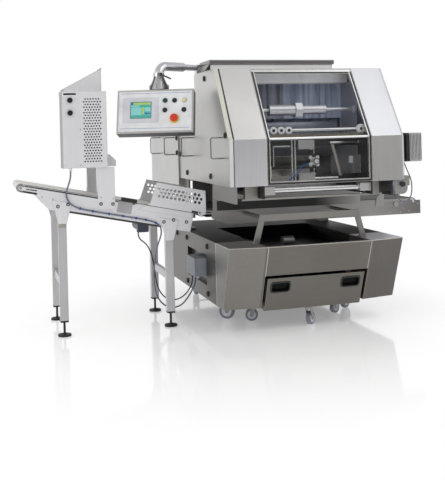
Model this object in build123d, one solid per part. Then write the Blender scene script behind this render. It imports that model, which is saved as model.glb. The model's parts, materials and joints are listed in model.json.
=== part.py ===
from build123d import *
import math
import os

# Dough divider with its side conveyor, flour duster and control panel.
# Millimetres. X runs along the front to the right, Y to the back, Z up from the floor.
# Everything is drawn from the lower left front corner of the head and moved at the end,
# so that the origin is on the floor under the middle of the whole object.

# Fits
sheet = 3.0
seam = 0.5
running_gap = 0.4
bearing_gap = 0.05

# Head
head_width = 1340.0
head_bottom = 1110.0
fold_height = 1450.0
head_top = 1985.0
slope_setback = 340.0
cover_depth = 30.0
cover_chamfer = 26.0
side_cover_length = 1520.0
upper_length = 945.0
shoulder_drop = 205.0
front_panel_width = 250.0
front_panel_return = 25.0
roof_lip = 25.0
rear_housing_length = 1150.0
rear_housing_step = 12.0
rear_housing_drop = 100.0

# Head frame
frame_plate = 15.0
frame_inset = 12.0
frame_setback = 30.0
frame_top_gap = 25.0
frame_lower_gap = 10.0
skirt_drop = 125.0
skirt_length = 600.0
column_front = 1380.0
column_length = 520.0
column_foot_width = 60.0
column_foot_height = 12.0
crossbar_radius = 30.0
roller_bracket_width = 123.0
roller_bracket_height = 107.0
roller_bracket_thickness = 10.0
roller_bracket_inset = 45.0
roller_bracket_round = 45.0

# Hopper
hopper_left = 16.0
hopper_width = 1074.0
hopper_front = 640.0
hopper_length = 300.0
hopper_rim_width = 17.0
hopper_rim_height = 36.0
hopper_rim_round = 8.0
hopper_rise = 95.0
funnel_drop = 25.0
funnel_depth = 220.0
outlet_left = 300.0
outlet_width = 740.0
outlet_front = 690.0
outlet_length = 220.0
apron_length = 215.0
baffle_y = 420.0
baffle_depth = 115.0

# Guard door
door_gap = 3.0
door_frame_width = 24.0
door_frame_depth = 24.0
door_hinge_down = 14.0
door_pin_radius = 5.0
pane_thickness = 6.0

# Inner frame, drum, spindle and front roller
wall_thickness = 10.0
wall_outset = 8.0
wall_setback = 45.0
wall_depth = 1100.0
wall_top_gap = 85.0
wall_step = 640.0
back_sheet_y = 560.0
back_sheet_rise = 150.0
drum_y = 800.0
drum_outlet_gap = 30.0
drum_radius = 210.0
drum_side_gap = 14.0
drum_shaft_radius = 25.0
drum_shaft_overhang = 60.0
drum_wall = 18.0
pocket_radius = 34.0
pocket_depth = 26.0
pockets_along = 5
pockets_around = 6
spindle_y = 300.0
spindle_rise = 213.0
spindle_radius = 15.0
spindle_sleeve_radius = 42.0
spindle_sleeve_inset = 135.0
spindle_sleeve_length = 211.0
spindle_nut_flats = 105.0
spindle_nut_length = 56.0
spindle_tail_radius = 36.0
spindle_tail_length = 200.0
spindle_collar_radius = 30.0
spindle_collar_width = 14.0
guide_bar_y = 120.0
guide_bar_rise = 57.0
guide_bar_radius = 12.0
guide_ring_radius = 28.0
guide_ring_depth = 22.0
guide_ring_sink = 6.0
guide_ring_bore = 12.0
guide_ring_insets = [99.0, 160.0, 220.0]
guide_disc_radius = 35.0
guide_disc_inset = 48.0
comb_y = 64.0
comb_rise = 5.0
comb_height = 15.0
comb_thickness = 4.0
comb_tooth_width = 14.0
comb_tooth_height = 12.0
comb_tooth_pitch = 26.0
beam_y = 262.0
beam_depth = 20.0
beam_height = 50.0
upper_beam_rise = 270.0
post_insets = [292.0, 318.0]
post_width = 12.0
post_depth = 17.0
block_inset = 341.0
block_width = 130.0
block_depth = 47.0
block_height = 68.0
lever_top_inset = 218.0
lever_bottom_inset = 156.0
lever_width = 22.0
lever_thickness = 12.0
side_box_width = 60.0
side_box_depth = 40.0
side_box_rise = 55.0
side_box_height = 135.0
slide_rod_radius = 9.0
slide_rod_length = 240.0
ledge_y = 150.0
ledge_depth = 40.0
ledge_drop = 100.0
ledge_height = 15.0
support_left = 124.0
support_width = 100.0
support_height = 92.0
bearing_block_width = 85.0
bearing_block_y = 60.0
bearing_block_depth = 70.0
bearing_block_rise = 27.0
bearing_block_height = 60.0
roller_y = 95.0
roller_rise = 29.0
roller_radius = 20.0
journal_radius = 10.0
journal_length = 34.0

# Drive motor on the right cover
motor_y = 300.0
motor_rise = 240.0
motor_gland_x = 30.0
motor_gland_up = 20.0
gearbox_length = 100.0
gearbox_size = 190.0
motor_body_size = 180.0
motor_body_length = 10.0
motor_size = 226.0
motor_corner = 14.0
motor_plate_length = 26.0
fin_core_size = 150.0
fin_count = 9
fin_thickness = 5.0
fin_pitch = 12.5

# Base
base_top = 663.0
base_bottom = 182.0
base_front = 25.0
base_slope = 194.0
block_cover_width = 284.0
block_facet = 50.0
block_cover_wall = 3.6
block_cover_length = 405.0
base_rear = 2050.0
fascia_bottom = 437.0
fascia_lip = 40.0
deck_thickness = 6.0
well_rear = 1340.0
well_floor = 560.0
rail_size = 60.0
rail_wall = 4.0
rail_x = 206.0
rail_front = 300.0
cross_rail_front = 760.0
niche_front = 705.0
niche_length = 600.0
niche_bottom = 292.0
niche_height = 240.0
niche_depth = 40.0
fan_motor_radius = 36.0
fan_motor_length = 94.0
fan_motor_foot = 8.0
fan_motor_y = 700.0
fan_motor_x = 615.0

# Casters
machine_wheel_radius = 62.5
drawer_wheel_radius = 50.0
wheel_width = 32.0
wheel_edge = 5.0
axle_radius = 6.0
caster_plate_length = 100.0
caster_plate_width = 85.0
caster_plate_thickness = 5.0
kingpin_radius = 7.0
kingpin_nut_radius = 12.0
kingpin_nut_height = 6.0
crown_radius = 32.0
crown_height = 10.0
cheek_top_half = 19.0
fork_thickness = 4.0
fork_side_gap = 3.0
fork_boss_radius = 15.0
caster_trail = 32.0
machine_caster_y = 750.0
rear_caster_y = 1850.0

# Drawer
drawer_side_gap = 24.0
drawer_bottom = 157.0
drawer_front_top = 413.0
drawer_front_thickness = 30.0
drawer_tray_inset = 12.0
drawer_tray_rear = 690.0
drawer_tray_height = 213.0
drawer_tray_wall = 2.0
grip_width = 147.0
grip_height = 80.0
grip_depth = 18.0
grip_corner = 22.0
grip_wall = 2.0
grip_z = 342.0
grip_side = 34.0
drawer_guide_length = 60.0
drawer_guide_height = 30.0
drawer_guide_up = 15.0
drawer_caster_front_y = 315.0
drawer_caster_rear_y = 609.0
drawer_caster_side = 61.0

# Cross conveyor under the head
cross_left = -65.0
cross_right = 1810.0
cross_front = 680.0
conveyor_width = 630.0
cross_belt_top = 905.0
conveyor_roller_radius = 28.0
belt_gap = 0.3
belt_thickness = 3.0
belt_margin = 10.0
side_plate_thickness = 4.0
cross_plate_below = 105.0
cross_plate_above = 10.0
cross_overhang = 67.0
cross_nose = 81.0
cross_nose_slope = 128.0
cross_nose_rise = 55.0
cross_boss_x = 1709.0
cross_boss_down = 17.0
cross_boss_radius = 22.0
cross_boss_depth = 6.0
chute_gap = 15.0
hanger_back = 278.0
hanger_width = 84.0
hanger_down = 24.0
hanger_up = 77.0
hanger_shoulder = 32.0
nose_bar_half = 16.0
nose_slot_half = 4.0
nose_slot_start = 38.0
tie_radius = 12.0
cross_ties = 6
side_ties = 4
bed_thickness = 4.0
shaft_radius = 10.0
arm_y = 226.0
arm_thickness = 12.0
arm_foot_width = 47.0
arm_lean = 57.0
arm_top = 880.0
arm_beam_height = 52.0
arm_foot_length = 64.0
arm_foot_thickness = 8.0
slide_bar_radius = 14.0
slide_bar_down = 22.0
rear_bracket_height = 80.0
rear_bracket_width = 20.0

# Side conveyor
side_tilt = 12.0
side_tail_back = 105.6
side_tail_drop = 16.0
side_length = 1310.0
side_front = 667.0
side_width = 661.0
side_plate_below = 125.0
side_plate_above = 22.0
side_overhang = 32.0
side_nose = 125.0
side_nose_slope = 107.0
side_nose_rise = 82.0
leg_size = 60.0
leg_wall = 3.0
leg_places = [-1154.0, -332.0]
leg_bottom = 118.0
leg_top_clearance = 50.0
leg_cap_height = 12.0
foot_stem_radius = 9.0
foot_pad_radius = 50.0
foot_pad_height = 22.0
foot_disc_height = 14.0
brace_bottom = 360.0
brace_size = 30.0
brace_height = 60.0
gusset_thickness = 4.0
gusset_drop = 165.0
gusset_flare = 45.0
side_motor_x = -540.0
side_motor_drop = 60.0
side_motor_radius = 42.0
side_motor_length = 230.0
guard_left = -482.0
rear_guard_left = -432.0
guard_right = -34.0
guard_above = 40.0
guard_height = 237.0
guard_lean = 59.0
guard_skirt_reach = 103.0
guard_skirt_right = -150.0
guard_skirt_height = 62.0
guard_hole_radius = 10.5
guard_rows = 3
guard_columns = 11
rear_guard_columns = 10
guard_pitch = 32.0
guard_first_row = 44.0
guard_row_pitch = 30.0
link_width = 30.0
link_height = 42.0
link_down = 16.0

# Flour duster
duster_left = -1140.0
duster_width = 335.0
duster_front = 637.0
duster_depth = 175.0
duster_bottom = 1263.0
duster_height = 578.0
vent_left = 165.0
vent_bottom = 48.0
vent_hole_radius = 5.5
vent_pitch = 20.5
vent_row_pitch = 20.5
vent_columns = 7
vent_rows = 24
slot_left = 15.0
slot_width = 92.0
slot_height = 12.0
slot_down = 14.0
bin_left = -1105.0
bin_width = 290.0
bin_depth = 190.0
bin_top_low = 1868.0
bin_top_high = 2022.0
trough_left = -1000.0
trough_width = 285.0
trough_height = 92.0
trough_chamfer = 48.0
trough_length = 530.0
lid_overhang = 18.0
lid_lip = 30.0
lid_pin_radius = 2.5
lid_knuckle_radius = 5.0
duster_gland_x = 55.0
duster_gland_y = 15.0
knob_x = 60.0
knob_radius = 20.0
knob_length = 20.0
knob_shaft_radius = 5.0
knob_shaft_length = 12.0
knob_places = [1774.0, 1679.0]
stand_left = -883.0
stand_width = 131.0
stand_thickness = 4.0
stand_bottom = 940.0
stand_flange = 60.0

# Control panel and its arm
arm_bracket_y = 862.0
arm_bracket_length = 64.0
arm_bracket_width = 44.0
arm_bracket_height = 74.0
arm_tube_radius = 25.0
arm_sleeve_radius = 36.0
arm_sleeve_start = 0.4
arm_tube_z = 2034.0
arm_bend_radius = 75.0
swivel_x = -384.0
swivel_y = 678.0
swivel_bottom = 1950.0
swivel_collar_radius = 44.0
swivel_collar_height = 30.0
swivel_spigot_radius = 18.0
swivel_spigot_length = 34.0
neck_radius = 40.0
neck_length = 8.0
bell_radius = 76.0
bell_height = 90.0
bell_skirt = 38.0
bell_skirt_radius = 66.0
panel_turn = 22.0
panel_tilt = 16.0
panel_width = 592.0
panel_height = 345.0
panel_depth = 150.0
panel_chamfer = 40.0
panel_top_z = 1826.0
panel_shift = 15.0
face_margin = 14.0
face_thickness = 2.0
button_radius = 15.0
button_length = 9.0
button_stem_radius = 8.0
button_stem_length = 14.0
button_travel = 4.0
button_bezel = 3.0
button_bezel_height = 4.0
stop_radius = 30.0
stop_height = 14.0
stop_neck_height = 10.0
stop_travel = 6.0
stop_ring_radius = 37.0
clamp_hub_radius = 10.0
clamp_hub_length = 46.0
clamp_pin_radius = 5.0
clamp_pin_length = 16.0
clamp_arm_radius = 6.0
clamp_arm_length = 88.0
clamp_arm_drop = 24.0

# Cover fittings
handle_radius = 5.0
handle_reach = 95.0
handle_height = 152.0
handle_rise = 205.0
handle_bend = 14.0
latch_radius = 21.0
latch_height = 8.0
handle_first = 160.0
handle_pitch = 895.0
housing_handle_first = 130.0
housing_handle_pitch = 600.0
latch_top_y = 628.0
latch_top_down = 56.0
latch_front_y = 100.0
latch_front_up = 32.0
latch_low_front = 513.0
latch_low_rear = 1246.0
latch_low_up = 58.0
latch_rear_edge = 40.0
latch_rear_up = 211.0
housing_latch_edge = 40.0
housing_latch_up = 222.0
housing_latch_pitch = 131.0
base_latch_front = 680.0
base_latch_middle = 1326.0
base_latch_rear = 1677.0
base_latch_down = 59.0
base_latch_up = 47.0

# Electrical pieces
junction_depth = 122.0
junction_front = 737.0
junction_length = 265.0
junction_bottom = 362.0
junction_height = 143.0
gland_radius = 12.0
gland_length = 22.0
supply_gland_y = 770.0
supply_bore_radius = 8.0
encoder_inset = 477.0
encoder_rise = 157.0
encoder_radius = 26.0
encoder_depth = 47.0
encoder_flange_radius = 30.0
encoder_lobe_radius = 14.0
encoder_lobe_circle = 40.0
encoder_flange = 10.0
encoder_plate = 60.0
encoder_plug_length = 59.0
encoder_plug_down = 17.0
encoder_plug_radius = 7.0
encoder_plug_back = 14.0
interlock_depth = 30.0
interlock_width = 28.0
interlock_rise = 12.0
interlock_height = 123.0
terminal_width = 45.0
terminal_depth = 50.0
terminal_drop = 48.0
terminal_height = 76.0
plug_width = 20.0
plug_depth = 16.0
plug_height = 30.0
socket_inset = 2.0
cap_inset = 76.0
cap_radius = 20.0
cap_rise = 91.0
cap_depth = 18.0
eye_x = 753.0
eye_length = 123.0
eye_bottom = 26.0
eye_height = 32.0
eye_plate_x = 737.0
eye_plate_length = 113.0
eye_plate_bottom = 60.0
eye_plate_top = 30.0
eye_depth = 22.0
duster_lead_diameter = 12.0
motor_lead_diameter = 10.0
encoder_lead_diameter = 7.0
sensor_lead_diameter = 9.0
arc_share = 0.45

# Routes of the leads, chosen by hand
duster_lead_route = [
    (-1085, 652, 1241), (-1085, 652, 1196), (-1102, 652, 1142), (-1122, 654, 1085), (-1118, 655, 1032),
    (-1082, 656, 985), (-1020, 656, 955), (-900, 656, 926), (-770, 656, 899), (-630, 656, 869),
    (-510, 656, 843), (-440, 656, 820), (-404, 656, 784), (-398, 658, 738), (-408, 676, 690),
    (-420, 720, 630), (-428, 775, 545), (-431, 815, 450), (-431, 836, 355), (-422, 842, 265),
    (-396, 842, 185), (-345, 838, 130), (-272, 836, 108), (-205, 838, 128), (-155, 843, 180),
    (-115, 849, 240), (-85, 850, 296), (-85, 850, 340),
]
motor_lead_route = [
    (-85, 950, 340), (-85, 950, 296), (-103, 948, 246), (-140, 944, 196), (-190, 940, 162),
    (-248, 937, 150), (-306, 934, 166), (-352, 930, 208), (-384, 925, 270), (-400, 918, 350),
    (-412, 910, 440), (-426, 902, 520), (-450, 894, 588), (-482, 888, 634), (-520, 884, 662),
    (-540, 882, 694), (-540, 882, 730),
]
encoder_lead_route = [
    (660, 207, 1250), (632, 207, 1250), (604, 207, 1234), (580, 206, 1203), (554, 205, 1170),
    (517, 201, 1142),
    (470, 192, 1123), (420, 172, 1113), (375, 140, 1114), (337, 104, 1125), (304, 77, 1140), (270, 77, 1140),
]
sensor_lead_route = [
    (1270, 12, 1066), (1270, 12, 1034), (1280, 12, 1000), (1302, 14, 968), (1336, 20, 944), (1376, 30, 938),
    (1412, 40, 952), (1437, 48, 987), (1446, 53, 1034), (1446, 56, 1082), (1436, 58, 1126), (1418, 62, 1166),
    (1406, 70, 1206), (1401, 88, 1242), (1400, 116, 1267), (1400, 150, 1275), (1400, 183, 1275),
]

# Worked out from the sizes above
slope_rise = head_top - fold_height
slope_length = math.hypot(slope_setback, slope_rise)
slope_z = slope_rise / slope_length
slope_y = slope_setback / slope_length
machine_left = -cover_depth
machine_right = head_width + cover_depth
machine_middle = head_width / 2
machine_rear = side_cover_length + seam + rear_housing_length
belt_outer = conveyor_roller_radius + belt_gap + belt_thickness
side_tilt_rad = math.radians(side_tilt)
cross_axis_z = cross_belt_top - belt_outer
side_nose_x = cross_left - side_tail_back - side_length * math.cos(side_tilt_rad)
side_nose_z = cross_axis_z - side_tail_drop + side_length * math.sin(side_tilt_rad)
object_left = side_nose_x - belt_outer
object_right = cross_right + cross_overhang
origin_x = (object_left + object_right) / 2
origin_y = machine_rear / 2
wall_left = front_panel_width - wall_outset
wall_right = head_width - wall_left
well_left = machine_left + block_cover_width
well_right = machine_right - block_cover_width
side_rear = side_front + side_width
cross_rear = cross_front + conveyor_width
duster_rear = duster_front + duster_depth
duster_right = duster_left + duster_width

hopper_height = head_top + hopper_rise
funnel_top = head_top - funnel_drop
funnel_bottom = funnel_top - funnel_depth
frame_top = head_top - frame_top_gap
shoulder_z = head_top - shoulder_drop
rear_frame_top = shoulder_z - frame_top_gap
frame_lower = head_bottom + frame_lower_gap
skirt_bottom = head_bottom - skirt_drop
rear_housing_bottom = head_bottom - rear_housing_drop
wall_top = head_top - wall_top_gap
ledge_top = head_bottom - ledge_drop
bearing_block_bottom = ledge_top + bearing_block_rise
roller_z = bearing_block_bottom + roller_rise
drum_z = funnel_bottom - drum_outlet_gap - drum_radius
spindle_z = fold_height + spindle_rise
guide_bar_z = fold_height + guide_bar_rise
comb_bottom = fold_height + comb_rise
upper_beam = head_bottom + upper_beam_rise
lower_beam = head_bottom
side_box_bottom = head_bottom + side_box_rise
block_left = wall_left + block_inset
lever_top_x = wall_right - lever_top_inset
lever_bottom_x = wall_right - lever_bottom_inset
spindle_sleeve_start = wall_left + spindle_sleeve_inset
encoder_x = wall_left + encoder_inset
encoder_z = head_bottom + encoder_rise
motor_z = head_bottom + motor_rise
handle_z = head_bottom + handle_rise
roller_bracket_left = head_width - frame_inset - frame_plate - roller_bracket_inset
cover_handle_places = [handle_first, handle_first + handle_pitch]
housing_handle_front = side_cover_length + housing_handle_first
housing_handle_places = [housing_handle_front, housing_handle_front + housing_handle_pitch]


def block(x0, x1, y0, y1, z0, z1):
    return Pos((x0 + x1) / 2, (y0 + y1) / 2, (z0 + z1) / 2) * Box(x1 - x0, y1 - y0, z1 - z0)


def rod_x(x0, x1, y, z, radius):
    return Pos((x0 + x1) / 2, y, z) * Rot(0, 90, 0) * Cylinder(radius, x1 - x0)


def rod_y(y0, y1, x, z, radius):
    return Pos(x, (y0 + y1) / 2, z) * Rot(90, 0, 0) * Cylinder(radius, y1 - y0)


def rod_z(z0, z1, x, y, radius):
    return Pos(x, y, (z0 + z1) / 2) * Cylinder(radius, z1 - z0)


def prism_x(points, x0, x1):
    """Outline of (Y, Z) points run from x0 to x1."""
    return extrude(Plane.YZ.offset(x0) * make_face(Polyline(*points, close=True)), x1 - x0)


def prism_y(points, y0, y1):
    """Outline of (X, Z) points run from y0 to y1."""
    return extrude(Plane.XZ.offset(-y1) * make_face(Polyline(*points, close=True)), y1 - y0)


def strip(points, thickness):
    """Outline of a bent sheet on the right-hand side of the line through the points."""
    normals = []
    for (a0, b0), (a1, b1) in zip(points, points[1:]):
        length = math.hypot(a1 - a0, b1 - b0)
        normals.append(((b1 - b0) / length, (a0 - a1) / length))
    inner = []
    for index, (a, b) in enumerate(points):
        before = normals[max(index - 1, 0)]
        after = normals[min(index, len(normals) - 1)]
        reach = thickness / (1 + before[0] * after[0] + before[1] * after[1])
        inner.append((a + (before[0] + after[0]) * reach, b + (before[1] + after[1]) * reach))
    return points + inner[::-1]


def join(pieces):
    return pieces[0] + pieces[1:]


def mirrored(shape):
    return mirror(shape, about=Plane.YZ.offset(machine_middle))


def front_y(z, depth):
    """Y of the head's front at a height, the given depth behind its face."""
    return max(depth, (z - fold_height) * slope_setback / slope_rise + depth / slope_z)


def front_line(depth, low, high):
    """The head's bent front, the given depth behind its face, from low to high."""
    bend = fold_height - depth * (1 / slope_z - 1) * slope_rise / slope_setback
    return [(depth, low), (depth, bend), (front_y(high, depth), high)]


def base_front_y(z):
    return base_front + base_slope * (base_top - z) / (base_top - base_bottom)


def lead(name, route, diameter):
    """Tube along straight runs joined by arcs as large as the runs allow."""
    points = [Vector(*point) for point in route]
    start = points[0]
    edges = []
    radii = []
    for before, corner, after in zip(points, points[1:], points[2:]):
        arriving = (corner - before).normalized()
        leaving = (after - corner).normalized()
        half_turn = math.radians(arriving.get_angle(leaving)) / 2
        reach = arc_share * min((corner - before).length, (after - corner).length)
        radii.append(reach / math.tan(half_turn))
        arc_start = corner - arriving * reach
        arc_end = corner + leaving * reach
        edges.append(Edge.make_line(start, arc_start))
        edges.append(Edge.make_tangent_arc(arc_start, arriving, arc_end))
        start = arc_end
    edges.append(Edge.make_line(start, points[-1]))
    path = Wire(edges)
    section = Plane(origin=points[0], z_dir=points[1] - points[0]) * Circle(diameter / 2)
    tube = sweep(section, path=path)
    expected = math.pi * diameter ** 2 / 4 * path.length
    print(name, "length", round(path.length), "volume ratio", round(tube.volume / expected, 4),
          "smallest radius in diameters", round(min(radii) / diameter, 1))
    return tube


nodes = {}


# Base
def block_cover_outline(z, inset, rear):
    front = base_front_y(z) + inset
    left = machine_left + inset
    right = well_left - inset
    return Pos(0, 0, z) * make_face(Polyline(
        (left, front + block_facet), (right, front), (right, rear), (left, rear), close=True))


def make_block_cover():
    """Sheet cover of one front corner of the base, open below and behind."""
    rear = base_front + block_cover_length
    outer = loft([block_cover_outline(base_bottom, 0, rear), block_cover_outline(base_top, 0, rear)],
                 ruled=True)
    inner_low = block_cover_outline(base_bottom - sheet, block_cover_wall, rear + sheet)
    inner_high = block_cover_outline(base_top - sheet, block_cover_wall, rear + sheet)
    return outer - loft([inner_low, inner_high], ruled=True)


def make_fascia():
    line = [
        (base_front_y(fascia_bottom) + fascia_lip, fascia_bottom),
        (base_front_y(fascia_bottom), fascia_bottom),
        (base_front_y(base_top), base_top), (base_front_y(base_top) + fascia_lip, base_top)]
    return prism_x(strip(line, sheet), well_left + seam, well_right - seam)


def make_drawer_guide():
    """Block on the inner side of a front cover that the drawer's tray slides along."""
    low = base_bottom + drawer_guide_up
    return block(well_left, well_left + drawer_side_gap + drawer_tray_inset, rail_front,
                 rail_front + drawer_guide_length, low, low + drawer_guide_height)


block_cover = make_block_cover() + make_drawer_guide()
nodes["base_front_covers"] = join([block_cover, mirrored(block_cover), make_fascia()])


def make_left_panel():
    """Left side panel of the base with the recess of the junction box."""
    start = base_front + block_cover_length + seam
    panel = block(machine_left, machine_left + sheet, start, base_rear, base_bottom, base_top)
    niche_rear = niche_front + niche_length
    niche_top = niche_bottom + niche_height
    recess = block(machine_left, machine_left + niche_depth + sheet, niche_front - sheet, niche_rear + sheet,
                   niche_bottom - sheet, niche_top + sheet)
    hollow = block(machine_left - sheet, machine_left + niche_depth, niche_front, niche_rear,
                   niche_bottom, niche_top)
    return panel + recess - hollow


def make_base_panels():
    start = base_front + block_cover_length + seam
    right = block(machine_right - sheet, machine_right, start, base_rear, base_bottom, base_top)
    rear = block(machine_left + sheet + seam, machine_right - sheet - seam, base_rear - sheet, base_rear,
                 base_bottom, base_top)
    return join([make_left_panel(), right, rear])


nodes["base_panels"] = make_base_panels()


def rail_y(x, y0, y1):
    outer = block(x - rail_size / 2, x + rail_size / 2, y0, y1, base_bottom, base_bottom + rail_size)
    inner_half = rail_size / 2 - rail_wall
    hollow = block(x - inner_half, x + inner_half, y0 + rail_wall, y1 - rail_wall,
                   base_bottom + rail_wall, base_bottom + rail_size - rail_wall)
    return outer - hollow


def post_z(x, y):
    half = rail_size / 2
    inner_half = half - rail_wall
    low = base_bottom + rail_size
    high = base_top - deck_thickness
    return (block(x - half, x + half, y - half, y + half, low, high)
            - block(x - inner_half, x + inner_half, y - inner_half, y + inner_half, low, high))


rail_left = machine_left + rail_x
rail_right = machine_right - rail_x
rail_rear = base_rear - sheet - rail_size
caster_places = {
    "machine_caster_left": (rail_left, machine_caster_y, base_bottom, machine_wheel_radius, 150.0),
    "machine_caster_right": (rail_right, machine_caster_y, base_bottom, machine_wheel_radius, 35.0),
    "drawer_caster_front": (machine_middle, drawer_caster_front_y, drawer_bottom, drawer_wheel_radius, 40.0),
    "drawer_caster_left": (well_left + drawer_side_gap + drawer_caster_side, drawer_caster_rear_y,
                           drawer_bottom, drawer_wheel_radius, 160.0),
    "drawer_caster_right": (well_right - drawer_side_gap - drawer_caster_side, drawer_caster_rear_y,
                            drawer_bottom, drawer_wheel_radius, 30.0),
}


def caster_mount(x, y, top):
    """Top plate of a caster with its kingpin and the nut that holds the fork."""
    plate_under = top - caster_plate_thickness
    crown_under = plate_under - running_gap - crown_height
    nut_top = crown_under - running_gap
    plate = block(x - caster_plate_length / 2, x + caster_plate_length / 2, y - caster_plate_width / 2,
                  y + caster_plate_width / 2, plate_under, top)
    pin = rod_z(nut_top - kingpin_nut_height, plate_under, x, y, kingpin_radius)
    nut = rod_z(nut_top - kingpin_nut_height, nut_top, x, y, kingpin_nut_radius)
    return plate + pin + nut


def caster_fork(top, wheel_radius):
    """Fork in its own place: swivel axis at X 0, axle at the trail."""
    crown_top = top - caster_plate_thickness - running_gap
    crown_under = crown_top - crown_height
    crown = rod_z(crown_under, crown_top, 0, 0, crown_radius)
    inside = wheel_width / 2 + fork_side_gap
    cheeks = []
    for side in (-1, 1):
        outline = [(-cheek_top_half, crown_top), (cheek_top_half, crown_top),
                   (caster_trail + fork_boss_radius, wheel_radius),
                   (caster_trail - fork_boss_radius, wheel_radius)]
        near = side * inside
        far = side * (inside + fork_thickness)
        cheek = prism_y(outline, min(near, far), max(near, far))
        cheek += rod_y(min(near, far), max(near, far), caster_trail, wheel_radius, fork_boss_radius)
        cheeks.append(cheek)
    axle = rod_y(-inside - fork_thickness, inside + fork_thickness, caster_trail, wheel_radius, axle_radius)
    fork = join([crown] + cheeks + [axle])
    return fork - rod_z(crown_under, crown_top, 0, 0, kingpin_radius + bearing_gap)


def caster_wheel(wheel_radius):
    """Wheel on its axle, with rounded tread edges."""
    wheel = Rot(90, 0, 0) * Cylinder(wheel_radius, wheel_width)
    wheel = fillet(wheel.edges().filter_by(GeomType.CIRCLE), wheel_edge)
    wheel -= Rot(90, 0, 0) * Cylinder(axle_radius + bearing_gap, wheel_width)
    return Pos(caster_trail, 0, wheel_radius) * wheel


for name, (x, y, top, wheel_radius, turn) in caster_places.items():
    place = Pos(x, y, 0) * Rot(0, 0, turn)
    nodes[name + "_fork"] = place * caster_fork(top, wheel_radius)
    nodes[name + "_wheel"] = place * caster_wheel(wheel_radius)

# Rear pair of wheels, in fixed forks on a common axle
rear_fork_half = wheel_width / 2 + fork_side_gap


def rear_fork(x):
    """Fixed fork welded under the rail, open to the rear axle."""
    cheeks = []
    for side in (-1, 1):
        near = x + side * rear_fork_half
        far = x + side * (rear_fork_half + fork_thickness)
        outline = [(rear_caster_y - crown_radius, base_bottom), (rear_caster_y + crown_radius, base_bottom),
                   (rear_caster_y + fork_boss_radius, machine_wheel_radius - fork_boss_radius),
                   (rear_caster_y - fork_boss_radius, machine_wheel_radius - fork_boss_radius)]
        cheeks.append(prism_x(outline, min(near, far), max(near, far)))
    bore = rod_x(x - rear_fork_half - fork_thickness, x + rear_fork_half + fork_thickness, rear_caster_y,
                 machine_wheel_radius, axle_radius + bearing_gap)
    return [cheek - bore for cheek in cheeks]


def make_rear_axle():
    """Axle with both rear wheels."""
    reach = rear_fork_half + fork_thickness + running_gap
    axle = rod_x(rail_left - reach, rail_right + reach, rear_caster_y, machine_wheel_radius, axle_radius)
    wheels = []
    for x in (rail_left, rail_right):
        wheel = Rot(0, 90, 0) * Cylinder(machine_wheel_radius, wheel_width)
        wheel = fillet(wheel.edges().filter_by(GeomType.CIRCLE), wheel_edge)
        wheels.append(Pos(x, rear_caster_y, machine_wheel_radius) * wheel)
    return join([axle] + wheels)


nodes["rear_axle"] = make_rear_axle()


def make_base_frame():
    """Rails, posts, deck and well of the base."""
    pieces = []
    for x in (rail_left, rail_right):
        pieces.append(rail_y(x, rail_front, rail_rear + rail_size))
        for y in (cross_rail_front + rail_size / 2, well_rear + rail_size, rail_rear + rail_size / 2):
            pieces.append(post_z(x, y))
        pieces.extend(rear_fork(x))
    for y in (cross_rail_front, rail_rear):
        pieces.append(block(rail_left + rail_size / 2, rail_right - rail_size / 2, y, y + rail_size,
                            base_bottom, base_bottom + rail_wall))
    deck_left = machine_left + sheet
    deck_right = machine_right - sheet
    deck_front = base_front + block_cover_length + seam
    deck = block(deck_left, deck_right, deck_front, base_rear - sheet, base_top - deck_thickness, base_top)
    deck -= block(well_left, well_right, 0, well_rear, base_top - deck_thickness, base_top)
    pieces.append(deck)
    floor_front = base_front_y(well_floor) + 2 * sheet
    pieces.append(block(well_left, well_right, floor_front, well_rear, well_floor, well_floor + sheet))
    pieces.append(block(well_left - sheet, well_left, deck_front, well_rear, well_floor, base_top))
    pieces.append(block(well_right, well_right + sheet, deck_front, well_rear, well_floor, base_top))
    pieces.append(block(well_left - sheet, well_right + sheet, well_rear, well_rear + sheet, well_floor,
                        base_top))
    for name in ("machine_caster_left", "machine_caster_right"):
        x, y, top = caster_places[name][:3]
        pieces.append(caster_mount(x, y, top))
    fan_z = well_floor + sheet + fan_motor_foot + fan_motor_radius
    pieces.append(block(fan_motor_x, fan_motor_x + fan_motor_length, fan_motor_y - fan_motor_radius / 2,
                        fan_motor_y + fan_motor_radius / 2, well_floor + sheet, fan_z))
    pieces.append(rod_x(fan_motor_x, fan_motor_x + fan_motor_length, fan_motor_y, fan_z, fan_motor_radius))
    return join(pieces)


nodes["base_frame"] = make_base_frame()

# Drawer
drawer_left = well_left + drawer_side_gap
drawer_right = well_right - drawer_side_gap
front_lean = math.degrees(math.atan2(base_slope, base_top - base_bottom))


def grip_shape(x, width, height, depth, corner):
    """Rounded pocket sunk square to the leaning drawer front."""
    pocket = Box(width, 2 * depth, height)
    pocket = fillet(pocket.edges().filter_by(Axis.Y), corner)
    return Pos(x, base_front_y(grip_z), grip_z) * Rot(front_lean, 0, 0) * pocket


def front_slab(near, far, side, low, high):
    """Slab square to the drawer front, between two depths behind its face."""
    lean = 1 / math.cos(math.radians(front_lean))
    outline = [(base_front_y(low) + near * lean, low), (base_front_y(high) + near * lean, high),
               (base_front_y(high) + far * lean, high), (base_front_y(low) + far * lean, low)]
    return prism_x(outline, drawer_left + side, drawer_right - side)


def tray_block(inset, front_depth, top):
    lean = 1 / math.cos(math.radians(front_lean))
    low = drawer_bottom + inset
    outline = [(base_front_y(low) + front_depth * lean, low), (base_front_y(top) + front_depth * lean, top),
               (drawer_tray_rear - inset, top), (drawer_tray_rear - inset, low)]
    side = drawer_tray_inset + inset
    return prism_x(outline, drawer_left + side, drawer_right - side)


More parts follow.
